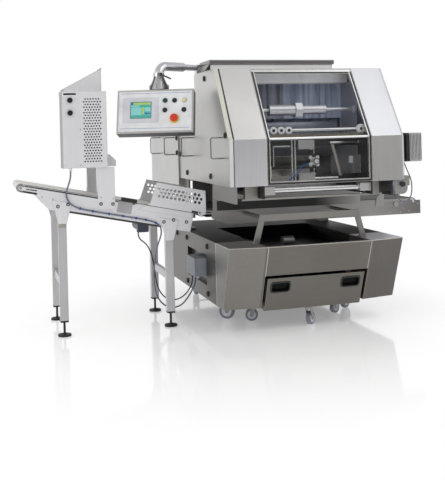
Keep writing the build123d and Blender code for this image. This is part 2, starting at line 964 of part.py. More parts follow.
def make_drawer_front():
    """Folded front, open behind, with two sunk grip cups."""
    thick = drawer_front_thickness
    front = front_slab(0, thick, 0, drawer_bottom, drawer_front_top)
    body = front - front_slab(sheet, thick, sheet, drawer_bottom + sheet, drawer_front_top - sheet)
    cups = []
    for x in (drawer_left + grip_side + grip_width / 2, drawer_right - grip_side - grip_width / 2):
        pocket = grip_shape(x, grip_width, grip_height, grip_depth, grip_corner)
        body -= pocket
        inner = grip_shape(x, grip_width - 2 * grip_wall, grip_height - 2 * grip_wall, grip_depth - grip_wall,
                           grip_corner - grip_wall)
        cups.append((pocket & front) - inner)
    return join([body] + cups)


def make_drawer_tray():
    """Tray behind the front, with the plates of its casters."""
    thick = drawer_front_thickness
    tray_top = drawer_bottom + drawer_tray_height
    tray = tray_block(0, thick, tray_top) - tray_block(drawer_tray_wall, thick + drawer_tray_wall, tray_top)
    for name in ("drawer_caster_front", "drawer_caster_left", "drawer_caster_right"):
        x, y, top = caster_places[name][:3]
        tray += caster_mount(x, y, top)
    return tray


nodes["drawer_front"] = make_drawer_front()
nodes["drawer_tray"] = make_drawer_tray()


# Head frame
def make_head_frame():
    """Two side plates with columns, tied by round bars, and the bracket of the front roller."""
    left = frame_inset
    column_rear = column_front + column_length
    outline = front_line(frame_setback, skirt_bottom, frame_top) + [
        (upper_length - frame_setback, frame_top), (upper_length - frame_setback, rear_frame_top),
        (column_rear, rear_frame_top), (column_rear, base_top), (column_front, base_top),
        (column_front, frame_lower), (skirt_length, frame_lower), (skirt_length, skirt_bottom)]
    plate = prism_x(outline, left, left + frame_plate)
    foot = block(left, left + column_foot_width, column_front, column_rear, base_top,
                 base_top + column_foot_height)
    half = plate + foot
    bars = []
    inside = left + frame_plate
    for y in (column_front + 2 * crossbar_radius, column_rear - 2 * crossbar_radius):
        for z in (frame_lower + 2 * crossbar_radius, rear_frame_top - 2 * crossbar_radius):
            bars.append(rod_x(inside, head_width - inside, y, z, crossbar_radius))
    bracket = block(roller_bracket_left, roller_bracket_left + roller_bracket_width,
                    frame_setback - roller_bracket_thickness, frame_setback, skirt_bottom + frame_plate,
                    skirt_bottom + frame_plate + roller_bracket_height)
    bracket = fillet(bracket.edges().filter_by(Axis.Y).sort_by(Axis.X)[-2:], roller_bracket_round)
    return join([half, mirrored(half)] + bars + [bracket])


nodes["head_frame"] = make_head_frame()


# Head covers
def cover_body(depth, cut):
    """Solid cover, the given depth inside its faces, with the outer front edges cut off."""
    outline = front_line(depth, head_bottom + depth, head_top - depth) + [
        (upper_length - depth, head_top - depth), (upper_length - depth, shoulder_z - depth),
        (side_cover_length - depth, shoulder_z - depth), (side_cover_length - depth, head_bottom + depth)]
    body = prism_x(outline, machine_left + depth, -seam)
    edges = body.faces().sort_by(Axis.X)[0].edges().sort_by(Axis.Y)[:2]
    return chamfer(edges, cut)


def make_side_cover():
    """Left cover, open to the head, low behind its shoulder."""
    return cover_body(0, cover_chamfer) - cover_body(sheet, cover_chamfer - sheet * (2 - math.sqrt(2)))


side_cover = make_side_cover()
nodes["head_side_covers"] = join([side_cover, mirrored(side_cover)])


def make_rear_housing():
    """Hood over the back of the head, open to the head and below."""
    front = side_cover_length + seam
    left = machine_left - rear_housing_step
    right = machine_right + rear_housing_step
    shell = block(left, right, front, machine_rear, rear_housing_bottom, shoulder_z)
    shell -= block(left + sheet, right - sheet, front + sheet, machine_rear - sheet, rear_housing_bottom,
                   shoulder_z - sheet)
    opening_left = frame_inset - seam
    return shell - block(opening_left, head_width - opening_left, front, front + sheet, rear_housing_bottom,
                         rear_frame_top + seam)


nodes["rear_housing"] = make_rear_housing()

hinge_up = slope_length - door_hinge_down
hinge_y = hinge_up * slope_y + door_frame_depth / 2 * slope_z
hinge_z = fold_height + hinge_up * slope_z - door_frame_depth / 2 * slope_y


def make_front_panels():
    """Bent front panels on both sides of the guard, with the hinge pin between their returns."""
    line = front_line(0, head_bottom, head_top) + [(slope_setback + roof_lip - seam, head_top)]
    panel = prism_x(strip(line, sheet), 0, front_panel_width)
    edge = prism_x(strip(front_line(0, head_bottom, head_top), front_panel_return), front_panel_width - sheet,
                   front_panel_width)
    left = panel + edge
    pin = rod_x(front_panel_width, head_width - front_panel_width, hinge_y, hinge_z, door_pin_radius)
    return join([left, mirrored(left), pin])


nodes["head_front_panels"] = make_front_panels()


def rectangle_at(z, x0, x1, y0, y1):
    return Pos((x0 + x1) / 2, (y0 + y1) / 2, z) * Rectangle(x1 - x0, y1 - y0)


def make_roof():
    """Stepped roof with the welded hopper: rim, neck, funnel, the apron on its left and a baffle in front."""
    hopper_right = hopper_left + hopper_width
    hopper_rear = hopper_front + hopper_length
    rim_bottom = hopper_height - hopper_rim_height
    neck = [hopper_left + hopper_rim_width - sheet, hopper_right - hopper_rim_width + sheet,
            hopper_front + hopper_rim_width - sheet, hopper_rear - hopper_rim_width + sheet]
    bore = [neck[0] + sheet, neck[1] - sheet, neck[2] + sheet, neck[3] - sheet]
    outlet = [outlet_left, outlet_left + outlet_width, outlet_front, outlet_front + outlet_length]
    outlet_bore = [outlet[0] + sheet, outlet[1] - sheet, outlet[2] + sheet, outlet[3] - sheet]
    roof = block(0, head_width, slope_setback + roof_lip, upper_length, head_top - sheet, head_top)
    roof += block(0, head_width, upper_length - sheet, upper_length, shoulder_z - sheet, head_top)
    roof += block(0, head_width, upper_length - sheet, side_cover_length, shoulder_z - sheet, shoulder_z)
    rim = block(hopper_left, hopper_right, hopper_front, hopper_rear, rim_bottom, hopper_height)
    rim = fillet(rim.edges(), hopper_rim_round)
    walls = block(*neck, funnel_top, rim_bottom)
    funnel = loft([rectangle_at(funnel_bottom, *outlet), rectangle_at(funnel_top, *neck)], ruled=True)
    hollow = block(*bore, funnel_top, hopper_height)
    funnel_hollow = loft([rectangle_at(funnel_bottom, *outlet_bore), rectangle_at(funnel_top, *bore)],
                         ruled=True)
    apron_line = [(hopper_left + sheet, rim_bottom + sheet), (machine_left + seam, head_top + sheet + seam)]
    apron = prism_y(strip(apron_line, -sheet), hopper_front, hopper_front + apron_length)
    baffle = block(wall_left, wall_right, baffle_y, baffle_y + sheet, head_top - baffle_depth,
                   head_top - sheet)
    return roof + rim + walls + funnel - hollow - funnel_hollow + apron + baffle


nodes["head_roof"] = make_roof()

# Guard door
door_left = front_panel_width + door_gap
door_right = head_width - door_left
door_bottom = head_bottom + door_gap


def make_door_frame():
    """Bent frame with a round top edge that turns on the hinge pin."""
    top_z = hinge_z + door_frame_depth / 2 * slope_y
    outer = front_line(0, door_bottom, top_z)
    inner = front_line(door_frame_depth, door_bottom, hinge_z - door_frame_depth / 2 * slope_y)
    bar = prism_x(outer + inner[::-1], door_left, door_right)
    bar += rod_x(door_left, door_right, hinge_y, hinge_z, door_frame_depth / 2)
    window_bottom = door_bottom + door_frame_width
    window_top = hinge_z - door_frame_width
    window = front_line(-1, window_bottom, window_top) + front_line(
        door_frame_depth + 1, window_bottom, window_top)[::-1]
    bar -= prism_x(window, door_left + door_frame_width, door_right - door_frame_width)
    return bar - rod_x(door_left, door_right, hinge_y, hinge_z, door_pin_radius + bearing_gap)


def make_pane():
    low = door_bottom + door_frame_width
    high = hinge_z - door_frame_width
    near = (door_frame_depth - pane_thickness) / 2
    outline = front_line(near, low, high) + front_line(near + pane_thickness, low, high)[::-1]
    return prism_x(outline, door_left + door_frame_width, door_right - door_frame_width)


nodes["guard_frame"] = make_door_frame()
nodes["guard_pane"] = make_pane()

# Inner frame
inside_left = wall_left
inside_right = wall_right


def make_inner_wall():
    """Left wall of the working chamber, with its spacers to the head frame."""
    outline = front_line(wall_setback, ledge_top, wall_top) + [
        (wall_step, wall_top), (wall_step, funnel_bottom - sheet), (wall_depth, funnel_bottom - sheet),
        (wall_depth, ledge_top)]
    wall = prism_x(outline, wall_left - wall_thickness, wall_left)
    spacers = []
    for y, z in ((wall_depth / 2, ledge_top + wall_setback),
                 (wall_depth - wall_setback, frame_lower + wall_setback),
                 (wall_depth - wall_setback, funnel_bottom - wall_setback),
                 (wall_step - wall_setback, wall_top - wall_setback)):
        spacers.append(rod_x(frame_inset + frame_plate, wall_left - wall_thickness, y, z, spindle_radius))
    return join([wall] + spacers)


def make_mechanism():
    """Beams, posts and slides behind the lower pane."""
    pieces = []
    for z in (upper_beam, lower_beam):
        pieces.append(block(inside_left, inside_right, beam_y, beam_y + beam_depth, z, z + beam_height))
    for inset in post_insets:
        x = inside_left + inset
        pieces.append(block(x, x + post_width, beam_y - post_depth, beam_y, lower_beam,
                            upper_beam + beam_height))
    for z in (upper_beam + beam_height - block_height, lower_beam):
        pieces.append(block(block_left, block_left + block_width, beam_y - block_depth, beam_y, z,
                            z + block_height))
    pieces.append(block(encoder_x - encoder_plate / 2, encoder_x + encoder_plate / 2,
                        beam_y - lever_thickness, beam_y, lower_beam + block_height,
                        upper_beam + beam_height - block_height))
    half = lever_width / 2
    lever = [(lever_top_x - half, upper_beam + half), (lever_top_x + half, upper_beam + half),
             (lever_bottom_x + half, lower_beam + beam_height - half),
             (lever_bottom_x - half, lower_beam + beam_height - half)]
    pieces.append(prism_y(lever, beam_y - lever_thickness, beam_y))
    pieces.append(block(inside_right - side_box_width, inside_right, beam_y - side_box_depth, beam_y,
                        side_box_bottom, side_box_bottom + side_box_height))
    rod_yy = beam_y - slide_rod_radius
    pieces.append(rod_x(inside_right - slide_rod_length, inside_right, rod_yy, upper_beam + beam_height / 2,
                        slide_rod_radius))
    pieces.append(rod_x(block_left + block_width, lever_bottom_x - lever_width, rod_yy,
                        lower_beam + beam_height / 2, slide_rod_radius))
    return pieces


def make_guides():
    """Guide bar with rings on its front and the comb under the upper pane."""
    pieces = [rod_x(inside_left, inside_right, guide_bar_y, guide_bar_z, guide_bar_radius)]
    ring_rear = guide_bar_y - guide_bar_radius + guide_ring_sink
    ring_front = ring_rear - guide_ring_depth
    rings = [(inside_left + inset, guide_ring_radius) for inset in guide_ring_insets]
    rings.append((inside_right - guide_disc_inset, guide_disc_radius))
    for x, radius in rings:
        pieces.append(rod_y(ring_front, ring_rear, x, guide_bar_z, radius)
                      - rod_y(ring_front, ring_rear, x, guide_bar_z, guide_ring_bore))
    comb_top = comb_bottom + comb_height
    pieces.append(block(inside_left, inside_right, comb_y, comb_y + comb_thickness, comb_bottom, comb_top))
    tooth = inside_left + comb_tooth_pitch
    while tooth + comb_tooth_width < inside_right:
        pieces.append(block(tooth, tooth + comb_tooth_width, comb_y, comb_y + comb_thickness, comb_top,
                            comb_top + comb_tooth_height))
        tooth += comb_tooth_pitch
    return pieces


def make_roller_seats():
    """Ledge, supports and bearing blocks of the front roller."""
    pieces = [block(frame_inset + frame_plate, head_width - frame_inset - frame_plate, ledge_y,
                    ledge_y + ledge_depth, ledge_top - ledge_height, ledge_top)]
    bearing_top = bearing_block_bottom + bearing_block_height
    for mirror_x in (False, True):
        support = block(support_left, support_left + support_width, ledge_y, ledge_y + ledge_depth, ledge_top,
                        ledge_top + support_height)
        bearing = block(inside_left, inside_left + bearing_block_width, bearing_block_y,
                        bearing_block_y + bearing_block_depth, bearing_block_bottom, bearing_top)
        bearing -= rod_x(inside_left, inside_left + bearing_block_width, roller_y, roller_z,
                         journal_radius + bearing_gap)
        pieces.extend([mirrored(support), mirrored(bearing)] if mirror_x else [support, bearing])
    return pieces


def make_inner_frame():
    wall = make_inner_wall()
    wall -= rod_x(0, head_width, drum_y, drum_z, drum_shaft_radius + bearing_gap)
    wall -= rod_x(wall_left - wall_thickness, wall_left, spindle_y, spindle_z, spindle_radius + bearing_gap)
    back_sheet = block(inside_left, inside_right, back_sheet_y, back_sheet_y + sheet,
                       fold_height + back_sheet_rise, wall_top)
    return join([wall, mirrored(wall), back_sheet] + make_mechanism() + make_guides() + make_roller_seats())


nodes["inner_frame"] = make_inner_frame()


def make_drum():
    """Dividing drum with its piston pockets on one shaft."""
    left = inside_left + drum_side_gap
    right = inside_right - drum_side_gap
    drum = rod_x(left, right, drum_y, drum_z, drum_radius)
    drum -= rod_x(left + drum_wall, right - drum_wall, drum_y, drum_z, drum_radius - pocket_depth - drum_wall)
    pitch = (right - left) / pockets_along
    pockets = []
    for along in range(pockets_along):
        for around in range(pockets_around):
            pocket = Pos(0, 0, drum_radius - pocket_depth / 2) * Cylinder(pocket_radius, pocket_depth * 2)
            pockets.append(Pos(left + pitch * (along + 0.5), drum_y, drum_z)
                           * Rot(360 / pockets_around * around, 0, 0) * pocket)
    drum -= pockets
    shaft_left = inside_left - wall_thickness - drum_shaft_overhang
    shaft = rod_x(shaft_left, head_width - shaft_left, drum_y, drum_z, drum_shaft_radius)
    return drum + shaft


nodes["dividing_drum"] = make_drum()


def make_spindle():
    """Weight spindle with its sleeve, hexagon nut, tail and end collar."""
    end = inside_right + wall_thickness
    shaft = rod_x(inside_left - wall_thickness, end, spindle_y, spindle_z, spindle_radius)
    sleeve_end = spindle_sleeve_start + spindle_sleeve_length
    sleeve = rod_x(spindle_sleeve_start, sleeve_end, spindle_y, spindle_z, spindle_sleeve_radius)
    nut_end = sleeve_end + spindle_nut_length
    hexagon = RegularPolygon(spindle_nut_flats / 2, 6, major_radius=False)
    nut = extrude(Plane.YZ.offset(sleeve_end) * Pos(spindle_y, spindle_z) * hexagon, spindle_nut_length)
    tail = rod_x(nut_end, nut_end + spindle_tail_length, spindle_y, spindle_z, spindle_tail_radius)
    collar = rod_x(inside_right - spindle_collar_width - running_gap, inside_right - running_gap, spindle_y,
                   spindle_z, spindle_collar_radius)
    return join([shaft, sleeve, nut, tail, collar])


nodes["weight_spindle"] = make_spindle()


def make_front_roller():
    left = inside_left + bearing_block_width + running_gap
    right = head_width - left
    roller = rod_x(left, right, roller_y, roller_z, roller_radius)
    return roller + rod_x(left - journal_length, right + journal_length, roller_y, roller_z, journal_radius)


nodes["front_roller"] = make_front_roller()


# Drive motor
def motor_slab(x0, x1, size):
    """Square slice of the motor with rounded corners."""
    half = size / 2
    slab = block(x0, x1, motor_y - half, motor_y + half, motor_z - half, motor_z + half)
    return fillet(slab.edges().filter_by(Axis.X), motor_corner)


def make_drive_motor():
    """Gear motor on the right cover, with a square plate and cooling fins."""
    half = gearbox_size / 2
    box_end = machine_right + gearbox_length
    body_end = box_end + motor_body_length
    plate_end = body_end + motor_plate_length
    fin_end = plate_end + fin_count * fin_pitch
    pieces = [
        block(machine_right, box_end, motor_y - half, motor_y + half, motor_z - half, motor_z + half),
        motor_slab(box_end, body_end, motor_body_size),
        motor_slab(body_end, plate_end, motor_size),
        motor_slab(plate_end, fin_end, fin_core_size),
        rod_y(motor_y - half - gland_length, motor_y - half, machine_right + motor_gland_x,
              motor_z - half + motor_gland_up, gland_radius)]
    for index in range(fin_count):
        start = plate_end + fin_pitch * (index + 1) - fin_thickness
        pieces.append(motor_slab(start, start + fin_thickness, motor_size))
    return join(pieces)


nodes["drive_motor"] = make_drive_motor()


# Conveyors, drawn level with the axis of the left roller at the origin
def conveyor_plate(length, below, above, y0, y1, nose, overhang):
    """Side plate behind the left roller, with a slotted bar out to that roller's axis."""
    start, slope, rise = nose
    end = length + overhang
    half = nose_bar_half
    edge = Polyline((0, half), (start, half), (start, above), (end, above), (end, -below),
                    (start + slope, -below), (start, rise - below), (start, -half), (0, -half))
    tip = ThreePointArc((0, -half), (-half, 0), (0, half))
    plate = extrude(Plane.XZ.offset(-y1) * make_face(edge + tip), y1 - y0)
    plate -= block(nose_slot_start, start - nose_slot_half, y0, y1, -nose_slot_half, nose_slot_half)
    for x in (0, length):
        plate -= rod_y(y0, y1, x, 0, shaft_radius + bearing_gap)
    return plate


def conveyor_frame(length, below, above, y0, y1, nose, overhang, ties):
    """Two side plates with tie bars and the bed that carries the belt."""
    front = conveyor_plate(length, below, above, y0, y0 + side_plate_thickness, nose, overhang)
    rear = conveyor_plate(length, below, above, y1 - side_plate_thickness, y1, nose, overhang)
    pieces = [front, rear]
    inner_front = y0 + side_plate_thickness
    inner_rear = y1 - side_plate_thickness
    for index in range(ties):
        x = length * (index + 0.5) / ties
        pieces.append(rod_y(inner_front, inner_rear, x, 0, tie_radius))
    bed_top = conveyor_roller_radius - belt_gap
    bed_start = conveyor_roller_radius + belt_margin
    bed_end = length - bed_start
    pieces.append(block(bed_start, bed_end, inner_front, inner_rear, bed_top - bed_thickness, bed_top))
    for y in (inner_front, inner_rear - bed_thickness):
        pieces.append(block(nose[0] + belt_margin, bed_end, y, y + bed_thickness, 0, bed_top))
    return join(pieces)


def conveyor_belt(length, y0, y1):
    def loop(radius):
        outline = Pos(length / 2, 0) * SlotCenterToCenter(length, 2 * radius)
        return extrude(Plane.XZ.offset(-y1) * outline, y1 - y0)
    inner = conveyor_roller_radius + belt_gap
    return loop(inner + belt_thickness) - loop(inner)


def conveyor_roller(x, y0, y1):
    """Roller between the side plates, with its shaft ends in them."""
    body = rod_y(y0 + side_plate_thickness + belt_margin, y1 - side_plate_thickness - belt_margin, x, 0,
                 conveyor_roller_radius)
    return body + rod_y(y0, y1, x, 0, shaft_radius)


cross_place = Pos(cross_left, 0, cross_axis_z)
cross_length = cross_right - cross_left


def make_cross_frame():
    """Frame with its boss, hanger and rear brackets, and the walls that keep dough on the belt."""
    nose = (cross_nose, cross_nose_slope, cross_nose_rise)
    frame = cross_place * conveyor_frame(cross_length, cross_plate_below, cross_plate_above, cross_front,
                                         cross_rear, nose, cross_overhang, cross_ties)
    boss = cross_place * rod_y(cross_front - cross_boss_depth, cross_front, cross_boss_x, -cross_boss_down,
                               cross_boss_radius)
    low = cross_axis_z - cross_plate_below
    left = frame_inset + frame_plate
    bracket = block(left, left + rear_bracket_width, cross_rear, column_front + rear_bracket_width, low,
                    low + rear_bracket_height)
    right = cross_right - hanger_back
    base = cross_axis_z - hanger_down
    top = cross_axis_z + hanger_up
    hanger = prism_y([(right - hanger_width, base), (right, base), (right, top),
                      (right - hanger_shoulder, top),
                      (right - hanger_width + hanger_shoulder / 2, top - hanger_shoulder)],
                     cross_front - side_plate_thickness, cross_front)
    wall_end = left + seam
    walls = []
    for y in (cross_front, cross_rear - side_plate_thickness):
        walls.append(block(wall_end, head_width - wall_end, y, y + side_plate_thickness, cross_axis_z,
                           head_bottom - chute_gap))
    slot = block(wall_left - wall_thickness - seam, wall_left + seam, cross_front,
                 cross_front + side_plate_thickness, ledge_top - seam, head_bottom)
    walls[0] -= [slot, mirrored(slot)]
    return join([frame, boss, hanger, bracket, mirrored(bracket)] + walls)


nodes["cross_frame"] = make_cross_frame()
belt_front = cross_front + side_plate_thickness + belt_margin
belt_rear = cross_rear - side_plate_thickness - belt_margin
nodes["cross_belt"] = cross_place * conveyor_belt(cross_length, belt_front, belt_rear)
nodes["cross_drive_roller"] = cross_place * conveyor_roller(cross_length, cross_front, cross_rear)
nodes["cross_tail_roller"] = cross_place * conveyor_roller(0, cross_front, cross_rear)


def make_conveyor_arms():
    """Front bracket of the cross conveyor: two leaning legs, a beam and two slide bars."""
    foot_right = well_left - seam
    foot_left = foot_right - arm_foot_width
    beam_under = arm_top - arm_beam_height
    leg = prism_y([(foot_left, base_top), (foot_right, base_top), (foot_right + arm_lean, arm_top),
                   (foot_left + arm_lean, arm_top)], arm_y, arm_y + arm_thickness)
    foot = block(foot_left, foot_right, arm_y + arm_thickness, arm_y + arm_foot_length, base_top,
                 base_top + arm_foot_thickness)
    bar = rod_y(arm_y + arm_thickness, cross_front, foot_left + arm_lean + arm_foot_width / 2,
                arm_top - slide_bar_down, slide_bar_radius)
    half = leg + foot + bar
    beam = block(foot_left + arm_lean, head_width - foot_left - arm_lean, arm_y, arm_y + arm_thickness,
                 beam_under, arm_top)
    return join([half, mirrored(half), beam])


nodes["conveyor_arms"] = make_conveyor_arms()

# Side conveyor, leaning down to the right
side_place = Pos(side_nose_x, 0, side_nose_z) * Rot(0, side_tilt, 0)


def side_line(x, offset):
    """Height of a line along the side conveyor, the given offset above its roller axes."""
    return side_nose_z - (x - side_nose_x) * math.tan(side_tilt_rad) + offset / math.cos(side_tilt_rad)


nodes["side_frame"] = side_place * conveyor_frame(
    side_length, side_plate_below, side_plate_above, side_front, side_rear,
    (side_nose, side_nose_slope, side_nose_rise), side_overhang, side_ties)
side_belt_front = side_front + side_plate_thickness + belt_margin
nodes["side_belt"] = side_place * conveyor_belt(side_length, side_belt_front,
                                                side_rear - side_plate_thickness - belt_margin)
nodes["side_drive_roller"] = side_place * conveyor_roller(0, side_front, side_rear)
nodes["side_tail_roller"] = side_place * conveyor_roller(side_length, side_front, side_rear)


def make_leg(x, y):
    """Square leg with its cap, threaded stem and round pad."""
    half = leg_size / 2
    inner_half = half - leg_wall
    top = side_line(x + half, -leg_top_clearance)
    tube = block(x - half, x + half, y - half, y + half, leg_bottom, top)
    tube -= block(x - inner_half, x + inner_half, y - inner_half, y + inner_half, leg_bottom, top)
    cap = block(x - half, x + half, y - half, y + half, leg_bottom - leg_cap_height, leg_bottom)
    stem = rod_z(foot_pad_height, leg_bottom - leg_cap_height, x, y, foot_stem_radius)
    pad = rod_z(0, foot_disc_height, x, y, foot_pad_radius)
    pad += Pos(x, y, (foot_disc_height + foot_pad_height) / 2) * Cone(
        foot_pad_radius, foot_stem_radius * 2, foot_pad_height - foot_disc_height)
    return [tube, cap, stem + pad]


def make_legs():
    """Four legs with braces from front to back and flared plates on the side plates."""
    pieces = []
    half = leg_size / 2
    leg_front = side_front + side_plate_thickness + half
    leg_rear = side_rear - side_plate_thickness - half
    for x in leg_places:
        for y in (leg_front, leg_rear):
            pieces.extend(make_leg(x, y))
        pieces.append(block(x - brace_size / 2, x + brace_size / 2, leg_front + half, leg_rear - half,
                            brace_bottom, brace_bottom + brace_height))
        flare = half + gusset_flare
        outline = [(x - flare, side_line(x - flare, -leg_top_clearance)),
                   (x + flare, side_line(x + flare, -leg_top_clearance)),
                   (x + half, side_line(x, -leg_top_clearance - gusset_drop)),
                   (x - half, side_line(x, -leg_top_clearance - gusset_drop))]
        for y0, y1, inward in ((side_front - gusset_thickness, side_front, 1),
                               (side_rear, side_rear + gusset_thickness, -1)):
            pieces.append(prism_y(outline, y0, y1))
            pad_bottom = side_line(x, -leg_top_clearance - gusset_drop)
            pad_top = side_line(x + half, -side_plate_below) - sheet
            inner = y1 if inward == 1 else y0
            pieces.append(block(x - half, x + half, min(inner, inner + inward * side_plate_thickness),
                                max(inner, inner + inward * side_plate_thickness), pad_bottom, pad_top))
    return join(pieces)


nodes["side_legs"] = make_legs()


def make_side_motor():
    """Gear motor hung under the side conveyor."""
    z = side_line(side_motor_x, -side_plate_below) - side_motor_drop + side_motor_radius
    start = side_front + side_plate_thickness + belt_margin
    body = rod_y(start, start + side_motor_length, side_motor_x, z, side_motor_radius)
    plate = block(side_motor_x - side_motor_radius, side_motor_x + side_motor_radius,
                  side_front + side_plate_thickness, start, z - side_motor_radius, z + side_motor_radius * 2)
    gland_x, gland_y, gland_z = motor_lead_route[-1]
    return body + plate + rod_z(gland_z, z, gland_x, gland_y, gland_radius)


nodes["side_motor"] = make_side_motor()


def guard_line(x, up):
    """Height above the guard's lower edge at x."""
    return side_line(x, side_plate_above - guard_above) + up


def make_guard(y0, y1, left, columns):
    """Perforated plate along the lower half of the side conveyor, with a plain skirt over the side plate."""
    skirt_left = left - guard_skirt_reach
    top_left = left + guard_lean
    plate = prism_y([(skirt_left, guard_line(skirt_left, 0)),
                     (guard_skirt_right, guard_line(guard_skirt_right, 0)),
                     (guard_skirt_right, guard_line(guard_skirt_right, guard_skirt_height)),
                     (guard_right, guard_line(guard_right, guard_skirt_height)),
                     (guard_right, guard_line(guard_right, guard_height)),
                     (top_left, guard_line(top_left, guard_height)),
                     (left, guard_line(left, guard_skirt_height))], y0, y1)
    holes = []
    for row in range(guard_rows):
        for column in range(columns):
            x = top_left + guard_pitch * (column + 0.5 + 0.5 * (row % 2))
            z = guard_line(x, guard_height - guard_first_row - guard_row_pitch * row)
            holes.append(rod_y(y0, y1, x, z, guard_hole_radius))
    return plate - holes


def make_links():
    """Blocks that tie the guards to the cross conveyor's side plates."""
    right = guard_right - sheet
    top = cross_axis_z
    return [block(right - link_width, right, y0, y1, top - link_down, top - link_down + link_height)
            for y0, y1 in ((side_front, cross_front), (cross_rear, side_rear))]


front_guard = make_guard(side_front - sheet, side_front, guard_left, guard_columns)
rear_guard = make_guard(side_rear, side_rear + sheet, rear_guard_left, rear_guard_columns)
nodes["side_guards"] = join([front_guard, rear_guard] + make_links())

# Flour duster
duster_top = duster_bottom + duster_height
trough_rear = duster_rear + trough_length
bin_right = bin_left + bin_width
bin_rear = duster_rear + bin_depth


def make_drive_box():
    """Vented drive box of the duster, hollow, with its slot and knob bores."""
    box = block(duster_left, duster_right, duster_front, duster_rear, duster_bottom, duster_top)
    box -= block(duster_left + sheet, duster_right - sheet, duster_front + sheet, duster_rear - sheet,
                 duster_bottom + sheet, duster_top - sheet)
    cuts = []
    for row in range(vent_rows):
        for column in range(vent_columns - row % 2):
            x = duster_left + vent_left + vent_pitch * (column + 0.5 * (row % 2))
            z = duster_bottom + vent_bottom + vent_row_pitch * row
            cuts.append(rod_y(duster_front, duster_front + sheet, x, z, vent_hole_radius))
    slot_top = duster_top - slot_down
    cuts.append(block(duster_left + slot_left, duster_left + slot_left + slot_width, duster_front,
                      duster_front + sheet, slot_top - slot_height, slot_top))
    for z in knob_places:
        cuts.append(rod_y(duster_front, duster_front + sheet, duster_left + knob_x, z,
                          knob_shaft_radius + bearing_gap))
    return box - cuts


lid_angle = math.atan2(bin_top_high - bin_top_low, bin_width)
lid_pin_x = bin_right
lid_pin_z = bin_top_high + lid_knuckle_radius + running_gap


def make_bin():
    """Flour bin behind the drive box, open above, over the trough that crosses the belt."""
    floor = duster_bottom + trough_height
    outline = [(bin_left, floor), (bin_right, floor), (bin_right, bin_top_high), (bin_left, bin_top_low)]
    shell = prism_y(outline, duster_rear, bin_rear)
    hollow = [(bin_left + sheet, floor + sheet), (bin_right - sheet, floor + sheet),
              (bin_right - sheet, bin_top_high + slope_setback),
              (bin_left + sheet, bin_top_high + slope_setback)]
    shell -= prism_y(hollow, duster_rear + sheet, bin_rear - sheet)
    ear_half = lid_knuckle_radius
    ears = []
    for y0, y1 in ((duster_rear, duster_rear + 2 * sheet), (bin_rear - 2 * sheet, bin_rear)):
        ears.append(block(bin_right - sheet, bin_right + ear_half, y0, y1, bin_top_high - 2 * ear_half,
                          lid_pin_z + ear_half))
    pin = rod_y(duster_rear, bin_rear, lid_pin_x, lid_pin_z, lid_pin_radius)
    trough_right = trough_left + trough_width
    profile = [(trough_left, duster_bottom), (trough_right, duster_bottom),
               (trough_right, floor - trough_chamfer),
               (trough_right - trough_chamfer, floor), (trough_left, floor)]
    trough = prism_y(profile, duster_rear, trough_rear)
    trough -= block(trough_left + sheet, trough_right - trough_chamfer, duster_rear + sheet,
                    trough_rear - sheet, duster_bottom + sheet, floor - sheet)
    return [shell] + ears + [pin, trough]


def make_stands():
    """Front and rear posts that carry the duster on the side conveyor."""
    right = stand_left + stand_width
    pieces = []
    for y, flange_y in ((side_front - stand_thickness, side_front), (side_rear, side_rear - stand_flange)):
        pieces.append(block(stand_left, right, y, y + stand_thickness, stand_bottom, duster_bottom))
        flange_low = side_line(stand_left, belt_outer) + stand_flange / 2
        pieces.append(block(stand_left, stand_left + stand_thickness, flange_y, flange_y + stand_flange,
                            flange_low, duster_bottom))
    return pieces


def make_duster_gland():
    return rod_z(duster_bottom - gland_length, duster_bottom, duster_left + duster_gland_x,
                 duster_front + duster_gland_y, gland_radius)


nodes["duster_housing"] = join([make_drive_box()] + make_bin() + make_stands() + [make_duster_gland()])


def make_lid():
    """Sloping lid with a lip to lift it by and a knuckle on the hinge pin."""
    rise = math.tan(lid_angle)
    gap = running_gap / math.cos(lid_angle)
    left = bin_left - lid_overhang
    right = bin_right - lid_knuckle_radius
    top_left = bin_top_low - lid_overhang * rise + gap
    top_right = bin_top_high - lid_knuckle_radius * rise + gap
    line = [(right, top_right), (left, top_left), (left - sheet, top_left - lid_lip)]
    plate = prism_y(strip(line, sheet), duster_rear, bin_rear)
    ear = 2 * sheet + running_gap
    knuckle = rod_y(duster_rear + ear, bin_rear - ear, lid_pin_x, lid_pin_z, lid_knuckle_radius)
    web = prism_y([(right - sheet, top_right + sheet / 2), (right - sheet, top_right + sheet * 2),
                   (lid_pin_x, lid_pin_z + sheet), (lid_pin_x, lid_pin_z)], duster_rear + ear, bin_rear - ear)
    return plate + knuckle + web - rod_y(duster_rear, bin_rear, lid_pin_x, lid_pin_z,
                                         lid_pin_radius + bearing_gap)


nodes["duster_lid"] = make_lid()


def make_knob(z):
    x = duster_left + knob_x
    face = duster_front - running_gap
    cap = rod_y(face - knob_length, face, x, z, knob_radius)
    shaft = rod_y(face, duster_front + sheet + knob_shaft_length, x, z, knob_shaft_radius)
    return cap + shaft


for name, z in zip(("duster_knob_upper", "duster_knob_lower"), knob_places):
    nodes[name] = make_knob(z)


